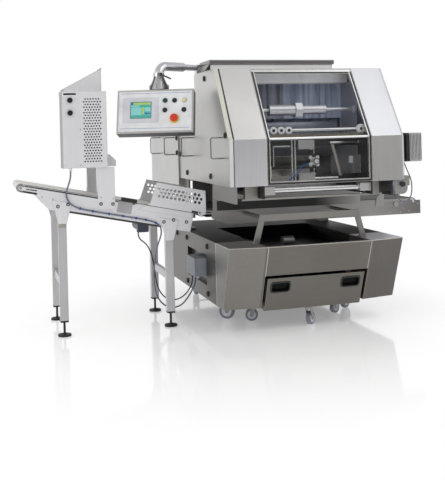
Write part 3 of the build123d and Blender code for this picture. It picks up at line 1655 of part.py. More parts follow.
# Control panel arm
def make_panel_arm():
    """Roof bracket, bent tube with a thicker sleeve, and the collar that the panel swivels in."""
    bracket_x = machine_left + seam + arm_bracket_width / 2
    bracket_y = arm_bracket_y + arm_bracket_length / 2
    bracket = block(bracket_x - arm_bracket_width / 2, bracket_x + arm_bracket_width / 2, arm_bracket_y,
                    arm_bracket_y + arm_bracket_length, head_top, head_top + arm_bracket_height)
    sleeve_x = bracket_x + (swivel_x - bracket_x) * arm_sleeve_start
    sleeve_y = bracket_y + (swivel_y - bracket_y) * arm_sleeve_start
    run = Line((bracket_x, bracket_y, arm_tube_z), (sleeve_x, sleeve_y, arm_tube_z))
    tube = sweep(Plane(run @ 0, z_dir=run % 0) * Circle(arm_tube_radius), path=run)
    path = FilletPolyline((sleeve_x, sleeve_y, arm_tube_z), (swivel_x, swivel_y, arm_tube_z),
                          (swivel_x, swivel_y, swivel_bottom), radius=arm_bend_radius)
    tube += sweep(Plane(path @ 0, z_dir=path % 0) * Circle(arm_sleeve_radius), path=path)
    collar = rod_z(swivel_bottom, swivel_bottom + swivel_collar_height, swivel_x, swivel_y,
                   swivel_collar_radius)
    arm = bracket + tube + collar
    arm -= rod_z(swivel_bottom, swivel_bottom + swivel_spigot_length + running_gap, swivel_x, swivel_y,
                 swivel_spigot_radius + bearing_gap)
    clamp_z = swivel_bottom + swivel_collar_height / 2
    front = swivel_y - swivel_collar_radius
    return arm - rod_y(front - swivel_collar_radius, front + clamp_pin_length, swivel_x, clamp_z,
                       clamp_pin_radius + bearing_gap)


nodes["panel_arm"] = make_panel_arm()


def make_clamp_lever():
    clamp_z = swivel_bottom + swivel_collar_height / 2
    front = swivel_y - swivel_collar_radius - running_gap
    hub = rod_y(front - clamp_hub_length, front, swivel_x, clamp_z, clamp_hub_radius)
    pin = rod_y(front, front + clamp_pin_length, swivel_x, clamp_z, clamp_pin_radius)
    handle = Pos(swivel_x, front - clamp_hub_length / 2, clamp_z) * Rot(0, clamp_arm_drop, 0) * rod_x(
        0, clamp_arm_length, 0, 0, clamp_arm_radius)
    return hub + pin + handle


nodes["clamp_lever"] = make_clamp_lever()

# Control panel, drawn upright with the middle of its front at the origin
panel_turn_rad = math.radians(panel_turn)
panel_tilt_rad = math.radians(panel_tilt)
top_back = panel_depth / 2 * math.cos(panel_tilt_rad) + panel_height / 2 * math.sin(panel_tilt_rad)
top_up = panel_height / 2 * math.cos(panel_tilt_rad) - panel_depth / 2 * math.sin(panel_tilt_rad)
panel_x = swivel_x - top_back * math.sin(panel_turn_rad) - panel_shift * math.cos(panel_turn_rad)
panel_y = swivel_y - top_back * math.cos(panel_turn_rad) + panel_shift * math.sin(panel_turn_rad)
panel_z = panel_top_z - top_up
panel_place = Pos(panel_x, panel_y, panel_z) * Rot(0, 0, -panel_turn) * Rot(-panel_tilt, 0, 0)
button_places = {
    "start_button": (76.0, 83.0),
    "step_button": (149.0, 82.0),
    "clean_button": (75.0, 6.0),
    "reset_button": (222.0, 6.0),
}
lamp_place = (225.0, 82.0)
stop_place = (149.0, -62.0)


def make_panel_box():
    """Panel housing with bevelled back, neck and swivel spigot."""
    half_width = panel_width / 2
    half_height = panel_height / 2
    box = block(-half_width, half_width, face_thickness, panel_depth, -half_height, half_height)
    back_edges = box.faces().sort_by(Axis.Y)[-1].edges()
    box = chamfer(back_edges, panel_chamfer)
    hollow = block(-half_width + sheet, half_width - sheet, face_thickness + sheet, panel_depth - sheet,
                   -half_height + sheet, half_height - sheet)
    box -= chamfer(hollow.faces().sort_by(Axis.Y)[-1].edges(), panel_chamfer - sheet / 2)
    rim = block(-half_width, half_width, 0, face_thickness, -half_height, half_height)
    rim -= block(-half_width + face_margin, half_width - face_margin, 0, face_thickness,
                 -half_height + face_margin, half_height - face_margin)
    box += rim
    bore_depth = face_thickness + button_stem_length + button_travel + running_gap
    for x, z in list(button_places.values()) + [stop_place]:
        box -= rod_y(face_thickness, bore_depth, x, z, button_stem_radius + bearing_gap)
    neck_top = swivel_bottom - running_gap
    bell_top = neck_top - neck_length
    bell_bottom = bell_top - bell_height
    neck = rod_z(bell_top, neck_top, swivel_x, swivel_y, neck_radius)
    bell = Pos(swivel_x, swivel_y, (bell_bottom + bell_top) / 2) * Cone(bell_radius, neck_radius, bell_height)
    neck += bell + rod_z(panel_top_z - bell_skirt, bell_bottom, swivel_x, swivel_y, bell_skirt_radius)
    spigot = rod_z(neck_top, neck_top + swivel_spigot_length, swivel_x, swivel_y, swivel_spigot_radius)
    return panel_place * box + neck + spigot


nodes["panel_box"] = make_panel_box()


def make_panel_face():
    """Front plate with button rings, the lamp and the stop button's ring."""
    half_width = panel_width / 2 - face_margin
    half_height = panel_height / 2 - face_margin
    plate = block(-half_width, half_width, 0, face_thickness, -half_height, half_height)
    outer = button_radius + button_bezel
    for x, z in button_places.values():
        plate += rod_y(-button_bezel_height, 0, x, z, outer)
        plate -= rod_y(-button_bezel_height, 0, x, z, button_radius + running_gap)
        plate -= rod_y(0, face_thickness, x, z, button_stem_radius + bearing_gap)
    x, z = lamp_place
    plate += rod_y(-button_length, 0, x, z, button_radius)
    x, z = stop_place
    plate += rod_y(-face_thickness, 0, x, z, stop_ring_radius)
    plate -= rod_y(-face_thickness, face_thickness, x, z, button_stem_radius + bearing_gap)
    return panel_place * plate


nodes["panel_face"] = make_panel_face()


def make_button(x, z):
    gap = button_travel + running_gap
    cap = rod_y(-gap - button_length, -gap, x, z, button_radius)
    return panel_place * (cap + rod_y(-gap, face_thickness + button_stem_length, x, z, button_stem_radius))


for name, (x, z) in button_places.items():
    nodes[name] = make_button(x, z)


def make_stop_button():
    x, z = stop_place
    low = face_thickness + stop_travel + running_gap
    neck_end = low + stop_neck_height
    stem = rod_y(-neck_end, face_thickness + button_stem_length, x, z, button_stem_radius)
    cap = rod_y(-neck_end - stop_height, -neck_end, x, z, stop_radius)
    cap = fillet(cap.faces().sort_by(Axis.Y)[0].edges(), stop_height / 2)
    return panel_place * (stem + cap)


nodes["stop_button"] = make_stop_button()


# Cover fittings
def make_handle(face_x, y):
    """Round bow handle that stands off a cover."""
    low = handle_z
    high = handle_z + handle_height
    path = FilletPolyline((face_x, y, low), (face_x - handle_reach, y, low), (face_x - handle_reach, y, high),
                          (face_x, y, high), radius=handle_bend)
    return sweep(Plane(path @ 0, z_dir=path % 0) * Circle(handle_radius), path=path)


def make_fittings():
    housing_left = machine_left - rear_housing_step
    pieces = []
    for y in cover_handle_places:
        pieces.append(make_handle(machine_left, y))
    for y in housing_handle_places:
        pieces.append(make_handle(housing_left, y))
    low = head_bottom + latch_low_up
    base_high = base_top - base_latch_down
    base_low = base_bottom + base_latch_up
    cover_latches = [(latch_top_y, head_top - latch_top_down), (latch_front_y, fold_height + latch_front_up),
                     (latch_low_front, low), (latch_low_rear, low),
                     (side_cover_length - latch_rear_edge, head_bottom + latch_rear_up)]
    base_latches = [(base_latch_front, base_high), (base_latch_middle, base_high),
                    (base_latch_rear, base_high), (base_latch_front, base_low), (base_latch_middle, base_low)]
    for y, z in cover_latches + base_latches:
        pieces.append(rod_x(machine_left - latch_height, machine_left, y, z, latch_radius))
    housing_low = head_bottom + housing_latch_up
    for z in (housing_low, housing_low + housing_latch_pitch):
        pieces.append(rod_x(housing_left - latch_height, housing_left,
                            side_cover_length + housing_latch_edge, z, latch_radius))
    return join(pieces)


nodes["cover_fittings"] = make_fittings()


# Electrical pieces
def make_junction_box():
    right = machine_left + niche_depth
    left = right - junction_depth
    pieces = [block(left, right, junction_front, junction_front + junction_length, junction_bottom,
                    junction_bottom + junction_height)]
    for route in (duster_lead_route, motor_lead_route):
        x, y = (route[-1] if route is duster_lead_route else route[0])[:2]
        pieces.append(rod_z(junction_bottom - gland_length, junction_bottom, x, y, gland_radius))
    supply_x = duster_lead_route[-1][0]
    supply = rod_z(junction_bottom - gland_length, junction_bottom, supply_x, supply_gland_y, gland_radius)
    supply -= rod_z(junction_bottom - gland_length, junction_bottom, supply_x, supply_gland_y,
                    supply_bore_radius)
    return join(pieces + [supply])


nodes["junction_box"] = make_junction_box()


def make_sensors():
    """Encoder, door switch, terminal block, roller cap and belt sensor."""
    face = beam_y - lever_thickness
    flange = [rod_y(face - encoder_flange, face, encoder_x, encoder_z, encoder_flange_radius)]
    for index in range(4):
        angle = math.radians(45 + 90 * index)
        flange.append(rod_y(face - encoder_flange, face, encoder_x + encoder_lobe_circle * math.cos(angle),
                            encoder_z + encoder_lobe_circle * math.sin(angle), encoder_lobe_radius))
    body = rod_y(face - encoder_flange - encoder_depth, face - encoder_flange, encoder_x, encoder_z,
                 encoder_radius)
    plug_y = face - encoder_flange - encoder_depth + encoder_plug_back
    plug = rod_x(encoder_x - encoder_plug_length, encoder_x, plug_y, encoder_z - encoder_plug_down,
                 encoder_plug_radius)
    switch = block(inside_left, inside_left + interlock_width, bearing_block_y,
                   bearing_block_y + interlock_depth,
                   head_bottom + interlock_rise, head_bottom + interlock_rise + interlock_height)
    terminal = block(machine_right, machine_right + terminal_width, frame_setback,
                     frame_setback + terminal_depth,
                     head_bottom - terminal_drop, head_bottom - terminal_drop + terminal_height)
    bracket_face = frame_setback - roller_bracket_thickness
    socket_x = roller_bracket_left + socket_inset
    socket = block(socket_x - plug_width / 2, socket_x + plug_width / 2, bracket_face - plug_depth,
                   bracket_face, roller_z, roller_z + plug_height)
    cap = rod_y(bracket_face - cap_depth, bracket_face, roller_bracket_left + cap_inset,
                skirt_bottom + cap_rise, cap_radius)
    eye = block(eye_x, eye_x + eye_length, side_front - eye_depth, side_front, eye_bottom,
                eye_bottom + eye_height)
    eye += block(eye_plate_x, eye_plate_x + eye_plate_length, side_front - side_plate_thickness, side_front,
                 -eye_plate_bottom, eye_plate_top)
    return join(flange + [body, plug, switch, terminal, socket, cap, side_place * eye])


nodes["sensors"] = make_sensors()
nodes["duster_lead"] = lead("duster_lead", duster_lead_route, duster_lead_diameter)
nodes["motor_lead"] = lead("motor_lead", motor_lead_route, motor_lead_diameter)
nodes["encoder_lead"] = lead("encoder_lead", encoder_lead_route, encoder_lead_diameter)
nodes["sensor_lead"] = lead("sensor_lead", sensor_lead_route, sensor_lead_diameter)

if __name__ == "__main__":
    os.makedirs("parts", exist_ok=True)
    for name, shape in nodes.items():
        export_step(Pos(-origin_x, -origin_y, 0) * shape, "parts/" + name + ".step")
    print(len(nodes), "nodes")
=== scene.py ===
import json
import math

import bmesh
import bpy
from mathutils import Matrix, Vector

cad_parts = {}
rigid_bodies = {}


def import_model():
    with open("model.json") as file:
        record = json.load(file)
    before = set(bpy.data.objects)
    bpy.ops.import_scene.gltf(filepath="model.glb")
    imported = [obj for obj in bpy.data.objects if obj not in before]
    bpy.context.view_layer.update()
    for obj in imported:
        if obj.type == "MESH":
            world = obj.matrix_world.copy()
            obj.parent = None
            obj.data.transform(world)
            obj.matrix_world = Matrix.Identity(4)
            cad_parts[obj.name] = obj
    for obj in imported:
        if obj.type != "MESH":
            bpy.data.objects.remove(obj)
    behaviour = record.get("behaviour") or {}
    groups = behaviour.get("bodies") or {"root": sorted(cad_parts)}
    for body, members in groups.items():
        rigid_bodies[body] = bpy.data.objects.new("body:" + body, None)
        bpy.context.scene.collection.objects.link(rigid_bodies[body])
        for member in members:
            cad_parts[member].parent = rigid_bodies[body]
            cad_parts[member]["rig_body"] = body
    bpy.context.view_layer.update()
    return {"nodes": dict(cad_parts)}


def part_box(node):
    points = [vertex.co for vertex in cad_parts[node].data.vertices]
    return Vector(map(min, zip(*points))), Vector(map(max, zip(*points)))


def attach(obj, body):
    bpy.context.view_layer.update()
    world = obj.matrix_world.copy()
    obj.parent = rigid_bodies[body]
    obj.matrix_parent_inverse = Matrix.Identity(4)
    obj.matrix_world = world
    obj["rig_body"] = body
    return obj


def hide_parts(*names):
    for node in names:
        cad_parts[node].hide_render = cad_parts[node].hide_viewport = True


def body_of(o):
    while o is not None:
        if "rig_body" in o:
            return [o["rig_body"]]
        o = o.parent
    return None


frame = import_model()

nodes = frame["nodes"]

# Drawing coordinates: millimetres from the left front corner of the head, with heights above the floor
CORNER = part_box("head_front_panels")[0]
MM = 0.001
# Height of the fold in the head's front
FOLD_HEIGHT = 1450


def at(x, y, z):
    """Point of the drawing in the frame, in metres."""
    return Vector((CORNER.x + x * MM, CORNER.y + y * MM, z * MM))


# Camera of the photograph
IMAGE_WIDTH = 445
FOCAL_PIXELS = 824.89
AXIS_ABOVE_CENTRE_PIXELS = 108.57
CAMERA_PLACE = at(-1763.5, -5616.4, 1511.75)
CAMERA_YAW = math.radians(16.68)
CAMERA_ROLL = math.radians(-1.47)
SENSOR_MM = 36


def make_camera():
    forward = Vector((math.sin(CAMERA_YAW), math.cos(CAMERA_YAW), 0))
    level = Vector((math.cos(CAMERA_YAW), -math.sin(CAMERA_YAW), 0))
    upright = Vector((0, 0, 1))
    right = level * math.cos(CAMERA_ROLL) + upright * math.sin(CAMERA_ROLL)
    up = upright * math.cos(CAMERA_ROLL) - level * math.sin(CAMERA_ROLL)
    data = bpy.data.cameras.new("camera")
    data.sensor_fit = "HORIZONTAL"
    data.sensor_width = SENSOR_MM
    data.lens = FOCAL_PIXELS / IMAGE_WIDTH * SENSOR_MM
    data.shift_y = -AXIS_ABOVE_CENTRE_PIXELS / IMAGE_WIDTH
    camera = bpy.data.objects.new("camera", data)
    bpy.context.collection.objects.link(camera)
    turn = Matrix((right, up, -forward)).transposed().to_4x4()
    camera.matrix_world = Matrix.Translation(CAMERA_PLACE) @ turn
    bpy.context.scene.camera = camera


make_camera()


# Shader nodes
def new_material(name):
    material = bpy.data.materials.new(name)
    material.use_nodes = True
    tree = material.node_tree
    return material, tree, tree.nodes["Principled BSDF"]


def put(tree, socket, value):
    """Constant, colour or node output on an input."""
    if isinstance(value, bpy.types.NodeSocket):
        tree.links.new(value, socket)
    elif isinstance(value, tuple) and socket.type == "RGBA":
        socket.default_value = (*value, 1)
    else:
        socket.default_value = value


def place_coordinates(tree, scale=(1, 1, 1)):
    """Object coordinates stretched by a scale per axis."""
    coordinates = tree.nodes.new("ShaderNodeTexCoord")
    mapping = tree.nodes.new("ShaderNodeMapping")
    mapping.inputs["Scale"].default_value = scale
    tree.links.new(coordinates.outputs["Object"], mapping.inputs["Vector"])
    return mapping.outputs["Vector"]


def axes_of(tree, vector):
    """Outputs X, Y and Z of a vector."""
    split = tree.nodes.new("ShaderNodeSeparateXYZ")
    tree.links.new(vector, split.inputs["Vector"])
    return split.outputs


def vector_maths(tree, operation, first, second=None):
    """Vector node of an operation, with one or two inputs."""
    node = tree.nodes.new("ShaderNodeVectorMath")
    node.operation = operation
    put(tree, node.inputs[0], first)
    if second is not None:
        put(tree, node.inputs[1], second)
    return node.outputs


def noise(tree, vector, scale, detail=3.0):
    texture = tree.nodes.new("ShaderNodeTexNoise")
    texture.inputs["Scale"].default_value = scale
    texture.inputs["Detail"].default_value = detail
    tree.links.new(vector, texture.inputs["Vector"])
    return texture.outputs["Fac"]


def spread(tree, value, low, high, start=0.3, end=0.7):
    """Value from its usual range to low and high."""
    node = tree.nodes.new("ShaderNodeMapRange")
    for name, number in (("From Min", start), ("From Max", end), ("To Min", low), ("To Max", high)):
        node.inputs[name].default_value = number
    tree.links.new(value, node.inputs["Value"])
    return node.outputs["Result"]


def calculate(tree, operation, first, second):
    node = tree.nodes.new("ShaderNodeMath")
    node.operation = operation
    put(tree, node.inputs[0], first)
    put(tree, node.inputs[1], second)
    return node.outputs["Value"]


def mix(tree, kind, factor, first, second):
    """Colours (RGBA) or numbers (FLOAT) mixed by a factor."""
    node = tree.nodes.new("ShaderNodeMix")
    node.data_type = kind
    put(tree, node.inputs["Factor"], factor)
    put(tree, node.inputs["A"], first)
    put(tree, node.inputs["B"], second)
    return node.outputs["Result"]


def tinted(tree, colour, tone):
    """Colour made lighter and darker by a tone."""
    node = tree.nodes.new("ShaderNodeVectorMath")
    node.operation = "SCALE"
    put(tree, node.inputs[0], colour)
    tree.links.new(tone, node.inputs["Scale"])
    return node.outputs["Vector"]


def rounded_edges(tree, radius):
    """Normal that rounds the edges, and a value that rises towards them."""
    bevel = tree.nodes.new("ShaderNodeBevel")
    bevel.inputs["Radius"].default_value = radius
    geometry = tree.nodes.new("ShaderNodeNewGeometry")
    dot = vector_maths(tree, "DOT_PRODUCT", bevel.outputs["Normal"], geometry.outputs["Normal"])
    return bevel.outputs["Normal"], spread(tree, dot["Value"], 1.0, 0.0, 0.75, 0.99)


def box_mask(tree, low, high):
    """1 inside a box of the drawing and 0 outside it."""
    low, high = at(*low), at(*high)
    shift = vector_maths(tree, "SUBTRACT", place_coordinates(tree), (low + high) / 2)
    distance = axes_of(tree, vector_maths(tree, "ABSOLUTE", shift["Vector"])["Vector"])
    inside = [calculate(tree, "LESS_THAN", distance[axis], half)
              for axis, half in zip("XYZ", (high - low) / 2)]
    return calculate(tree, "MULTIPLY", calculate(tree, "MULTIPLY", inside[0], inside[1]), inside[2])


def behind_mask(tree, place, outward, depth):
    """1 more than a depth behind a plane through a point, 0 in front."""
    shift = vector_maths(tree, "SUBTRACT", place_coordinates(tree), place)
    dot = vector_maths(tree, "DOT_PRODUCT", shift["Vector"], outward)
    return calculate(tree, "LESS_THAN", dot["Value"], -depth)


def band_mask(tree, place, up, low, high):
    """1 between two heights above a plane through a point, 0 elsewhere."""
    below_high = behind_mask(tree, place, up, -high * MM)
    below_low = behind_mask(tree, place, up, -low * MM)
    return calculate(tree, "SUBTRACT", below_high, below_low)


def patch(material, low, high, colour, roughness, metallic):
    """Another finish, or painted light and shade, inside a box of the drawing, with the same grain."""
    paint(material, box_mask(material.node_tree, low, high), colour, roughness, metallic)


def paint(material, inside, colour, roughness, metallic):
    """Another finish, or painted light and shade, where a mask is 1, with the same grain."""
    tree = material.node_tree
    shader = tree.nodes["Principled BSDF"]
    tone = tree.nodes["tone"].outputs["Value"]
    for name, kind, value in (("Base Color", "RGBA", tinted(tree, colour, tone)),
                              ("Roughness", "FLOAT", roughness), ("Metallic", "FLOAT", metallic)):
        socket = shader.inputs[name]
        before = socket.links[0].from_socket if socket.links else socket.default_value
        tree.links.new(mix(tree, kind, inside, before, value), socket)


def shade(material, low, high, start, end, share, axis="Z"):
    """Colour inside a box of the drawing scaled by a share at the start of an axis, and by 1 at its end."""
    tree = material.node_tree
    socket = tree.nodes["Principled BSDF"].inputs["Base Color"]
    start, end = (at(value, value, value)["XYZ".index(axis)] for value in (start, end))
    rise = spread(tree, axes_of(tree, place_coordinates(tree))[axis], share, 1.0, start, end)
    factor = mix(tree, "FLOAT", box_mask(tree, low, high), 1.0, rise)
    tree.links.new(tinted(tree, socket.links[0].from_socket, factor), socket)


# Finishes
BUMP_DEPTH = 0.0004


def finish_surface(tree, shader, colour, fine, broad, contrast, cloud, edge, glow, relief):
    """Colour, edges and relief that all finishes share."""
    normal, near_edge = rounded_edges(tree, edge)
    grained = calculate(tree, "MULTIPLY", spread(tree, fine, 1 - contrast, 1 + contrast),
                        spread(tree, broad, 1 - cloud, 1 + cloud / 2))
    # Edges: colour scaled by glow, a painted highlight where glow is above 1 and painted shade where it is
    # below 1
    tone = calculate(tree, "MULTIPLY", grained, spread(tree, near_edge, 1.0, glow, 0.0, 1.0))
    tone.node.name = "tone"
    tree.links.new(tinted(tree, colour, tone), shader.inputs["Base Color"])
    bump = tree.nodes.new("ShaderNodeBump")
    bump.inputs["Strength"].default_value = relief
    bump.inputs["Distance"].default_value = BUMP_DEPTH
    tree.links.new(fine, bump.inputs["Height"])
    tree.links.new(normal, bump.inputs["Normal"])
    tree.links.new(bump.outputs["Normal"], shader.inputs["Normal"])


def brushed(name, colour, roughness=0.34, metallic=0.9, grain=(240, 240, 5), contrast=0.06, cloud=0.10,
            edge=0.004, glow=1.25):
    """Brushed sheet: fine grain along one axis, broad cloudiness, and edges whose colour glow scales: polish
    with a painted highlight where glow is above 1, painted shade where it is below 1.
    """
    material, tree, shader = new_material(name)
    fine = noise(tree, place_coordinates(tree, grain), 1.0, 4.0)
    broad = noise(tree, place_coordinates(tree), 2.1, 2.0)
    finish_surface(tree, shader, colour, fine, broad, contrast, cloud, edge, glow, 0.06)
    tree.links.new(spread(tree, fine, roughness - 0.04, roughness + 0.06), shader.inputs["Roughness"])
    shader.inputs["Metallic"].default_value = metallic
    return material


def moulded(name, colour, roughness=0.45, grain=700.0, contrast=0.05, cloud=0.12, edge=0.002, glow=1.15):
    """Moulded plastic, rubber or paint with a fine texture, and edges made lighter by glow as a painted
    highlight.
    """
    material, tree, shader = new_material(name)
    fine = noise(tree, place_coordinates(tree), grain, 2.0)
    broad = noise(tree, place_coordinates(tree), 9.0, 2.0)
    finish_surface(tree, shader, colour, fine, broad, contrast, cloud, edge, glow, 0.12)
    tree.links.new(spread(tree, fine, roughness - 0.06, roughness + 0.08), shader.inputs["Roughness"])
    return material


def clear(name, low_colour, high_colour, fold, alpha):
    """Clear sheet with faint wiping marks, and another tint above its fold."""
    material, tree, shader = new_material(name)
    above = calculate(tree, "GREATER_THAN", axes_of(tree, place_coordinates(tree))["Z"], fold * MM)
    tree.links.new(mix(tree, "RGBA", above, low_colour, high_colour), shader.inputs["Base Color"])
    smear = noise(tree, place_coordinates(tree, (6, 6, 1)), 3.0, 3.0)
    tree.links.new(spread(tree, smear, 0.02, 0.07), shader.inputs["Roughness"])
    tree.links.new(spread(tree, smear, alpha * 0.7, alpha * 1.4), shader.inputs["Alpha"])
    return material


# Leads: their routes repeat those of the part
DUSTER_LEAD = [
    (-1085, 652, 1241), (-1085, 652, 1196), (-1102, 652, 1142), (-1122, 654, 1085), (-1118, 655, 1032),
    (-1082, 656, 985), (-1020, 656, 955), (-900, 656, 926), (-770, 656, 899), (-630, 656, 869),
    (-510, 656, 843), (-440, 656, 820), (-404, 656, 784), (-398, 658, 738), (-408, 676, 690),
    (-420, 720, 630), (-428, 775, 545), (-431, 815, 450), (-431, 836, 355), (-422, 842, 265),
    (-396, 842, 185), (-345, 838, 130), (-272, 836, 108), (-205, 838, 128), (-155, 843, 180),
    (-115, 849, 240), (-85, 850, 296), (-85, 850, 340),
]
MOTOR_LEAD = [
    (-85, 950, 340), (-85, 950, 296), (-103, 948, 246), (-140, 944, 196), (-190, 940, 162),
    (-248, 937, 150), (-306, 934, 166), (-352, 930, 208), (-384, 925, 270), (-400, 918, 350),
    (-412, 910, 440), (-426, 902, 520), (-450, 894, 588), (-482, 888, 634), (-520, 884, 662),
    (-540, 882, 694), (-540, 882, 730),
]
ENCODER_LEAD = [
    (660, 207, 1250), (632, 207, 1250), (604, 207, 1234), (580, 206, 1203), (554, 205, 1170),
    (517, 201, 1142), (470, 192, 1123), (420, 172, 1113), (375, 140, 1114), (337, 104, 1125),
    (304, 77, 1140), (270, 77, 1140),
]
SENSOR_LEAD = [
    (1270, 12, 1066), (1270, 12, 1034), (1280, 12, 1000), (1302, 14, 968), (1336, 20, 944),
    (1376, 30, 938), (1412, 40, 952), (1437, 48, 987), (1446, 53, 1034), (1446, 56, 1082),
    (1436, 58, 1126), (1418, 62, 1166), (1406, 70, 1206), (1401, 88, 1242), (1400, 116, 1267),
    (1400, 150, 1275), (1400, 183, 1275),
]

grey_cord = moulded("grey_cord", (0.15, 0.17, 0.23), 0.45)
black_cord = moulded("black_cord", (0.012, 0.012, 0.013), 0.4)
blue_cord = moulded("blue_cord", (0.02, 0.12, 0.48), 0.35)
LEAD_STEPS = 10
LEAD_ROUNDING = 5


def lead_curve(name, route):
    """Smooth line with the points of a route as its control points."""
    curve = bpy.data.curves.new(name, "CURVE")
    curve.dimensions = "3D"
    curve.resolution_u = LEAD_STEPS
    spline = curve.splines.new("NURBS")
    spline.points.add(len(route) - 1)
    for point, place in zip(spline.points, route):
        point.co = (*at(*place), 1)
    spline.order_u = 3
    spline.use_endpoint_u = True
    return curve


def points_along(route):
    """Points of a lead's smooth line, in metres."""
    curve = lead_curve("line", route)
    line = bpy.data.objects.new("line", curve)
    mesh = bpy.data.meshes.new_from_object(line)
    points = [vertex.co.copy() for vertex in mesh.vertices]
    bpy.data.objects.remove(line)
    bpy.data.curves.remove(curve)
    bpy.data.meshes.remove(mesh)
    return points


def make_lead(node, route, diameter, material):
    """Smooth lead along its route, held at both ends by the object."""
    curve = lead_curve(node + "_line", route)
    curve.bevel_depth = diameter / 2
    curve.bevel_resolution = LEAD_ROUNDING
    curve.use_fill_caps = True
    piece = bpy.data.objects.new(node + "_line", curve)
    bpy.context.collection.objects.link(piece)
    curve.materials.append(material)
    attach(piece, "machine")
    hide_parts(node)


make_lead("duster_lead", DUSTER_LEAD, 0.012, grey_cord)
make_lead("motor_lead", MOTOR_LEAD, 0.010, black_cord)
make_lead("encoder_lead", ENCODER_LEAD, 0.007, blue_cord)
make_lead("sensor_lead", SENSOR_LEAD, 0.009, grey_cord)

# Materials
WHITE = (0.80, 0.80, 0.80)
BLACK = (0.012, 0.012, 0.013)
BRIGHT = (0.72, 0.72, 0.72)
LIGHT_STEEL = (0.88, 0.875, 0.90)
# Steel of the working chamber, painted dark as painted shade inside the chamber
CHAMBER_SHADE_STEEL = (0.052, 0.052, 0.054)
CAST = (0.62, 0.61, 0.60)
CREAM = (0.62, 0.57, 0.36)
ALONG_X = (5, 240, 240)
ALONG_Y = (240, 5, 240)

cover_steel = brushed("cover_steel", (0.60, 0.595, 0.585), contrast=0.035)
roof_steel = brushed("roof_steel", (0.62, 0.615, 0.61), grain=ALONG_X)
door_steel = brushed("door_steel", (0.68, 0.675, 0.66), 0.25, 1.0, grain=ALONG_X)
light_steel = brushed("light_steel", LIGHT_STEEL, 0.42, 0.35, contrast=0.035, cloud=0.05,
                      edge=0.006, glow=0.55)
plate_steel = brushed("plate_steel", LIGHT_STEEL, 0.42, 0.35, grain=ALONG_X, contrast=0.035,
                      edge=0.006, glow=0.6)
leg_steel = brushed("leg_steel", (0.60, 0.59, 0.605), 0.42, 0.6, edge=0.007, glow=0.5)
cross_steel = brushed("cross_steel", (0.40, 0.39, 0.385), 0.4, 0.75, grain=ALONG_X)
arm_steel = brushed("arm_steel", (0.32, 0.31, 0.29), 0.36, 0.85)
frame_steel = brushed("frame_steel", (0.36, 0.355, 0.345), 0.42, 0.8)
# Working chamber: steel colour painted dark as painted shade inside the chamber
inner_steel = brushed("inner_steel", CHAMBER_SHADE_STEEL, 0.35, 0.8, grain=ALONG_X)
base_steel = brushed("base_steel", (0.175, 0.163, 0.147), 0.36, 0.85, grain=ALONG_X, edge=0.006, glow=2.2)
deck_steel = brushed("deck_steel", (0.016, 0.015, 0.014), 0.5, 0.8, grain=ALONG_X)
side_steel = brushed("side_steel", (0.10, 0.096, 0.086), 0.34, 0.85, edge=0.006, glow=2.2)
handle_steel = brushed("handle_steel", (0.30, 0.30, 0.30), 0.22, 1.0, contrast=0.04)
bright_steel = brushed("bright_steel", BRIGHT, 0.16, 1.0, grain=ALONG_Y, contrast=0.04)
spindle_steel = brushed("spindle_steel", (0.66, 0.66, 0.69), 0.36, 0.85, grain=(5, 200, 200))
chrome = brushed("chrome", (0.64, 0.64, 0.67), 0.14, 1.0, contrast=0.03)
zinc = brushed("zinc", (0.50, 0.50, 0.49), 0.35, 0.9, grain=(60, 60, 60))
fork_zinc = brushed("fork_zinc", (0.30, 0.30, 0.30), 0.32, 0.9, grain=(60, 60, 60))
motor_grey = brushed("motor_grey", (0.42, 0.43, 0.44), 0.42, 0.7, grain=(80, 80, 80))
motor_dark = moulded("motor_dark", (0.035, 0.045, 0.065), 0.4)
drum_metal = brushed("drum_metal", (0.29, 0.30, 0.35), 0.3, 0.5, grain=ALONG_X)
white_belt = moulded("white_belt", (0.80, 0.79, 0.75), 0.6, 500.0)
dark_belt = moulded("dark_belt", (0.022, 0.022, 0.022), 0.6, 500.0)
black_plastic = moulded("black_plastic", BLACK, 0.32)
dark_rubber = moulded("dark_rubber", (0.02, 0.02, 0.021), 0.55)
sensor_grey = moulded("sensor_grey", (0.02, 0.02, 0.022), 0.38)
panel_grey = brushed("panel_grey", (0.50, 0.495, 0.48), 0.36, 0.75, grain=ALONG_X)
panel_white = moulded("panel_white", (0.86, 0.87, 0.88), 0.35)
bezel_grey = moulded("bezel_grey", (0.70, 0.70, 0.75), 0.4)
screen_edge = moulded("screen_edge", (0.05, 0.07, 0.08), 0.3)
line_blue = moulded("line_blue", (0.22, 0.30, 0.55), 0.4)
green_plastic = moulded("green_plastic", (0.008, 0.055, 0.04), 0.22)
red_plastic = moulded("red_plastic", (0.66, 0.035, 0.015), 0.22)
yellow_plastic = moulded("yellow_plastic", (0.72, 0.55, 0.06), 0.35)
lamp_cream = moulded("lamp_cream", (0.80, 0.72, 0.36), 0.2)
tie_blue = moulded("tie_blue", (0.015, 0.07, 0.38), 0.35)
wheel_grey = moulded("wheel_grey", (0.27, 0.28, 0.34), 0.45, 400.0)
hub_white = moulded("hub_white", (0.80, 0.80, 0.84), 0.4)
box_grey = moulded("box_grey", (0.30, 0.32, 0.37), 0.42)
gland_white = moulded("gland_white", (0.72, 0.73, 0.75), 0.4)
terminal_cream = moulded("terminal_cream", CREAM, 0.4)
guard_clear = clear("guard_clear", (0.085, 0.083, 0.08), (0.07, 0.09, 0.16), FOLD_HEIGHT, 0.05)

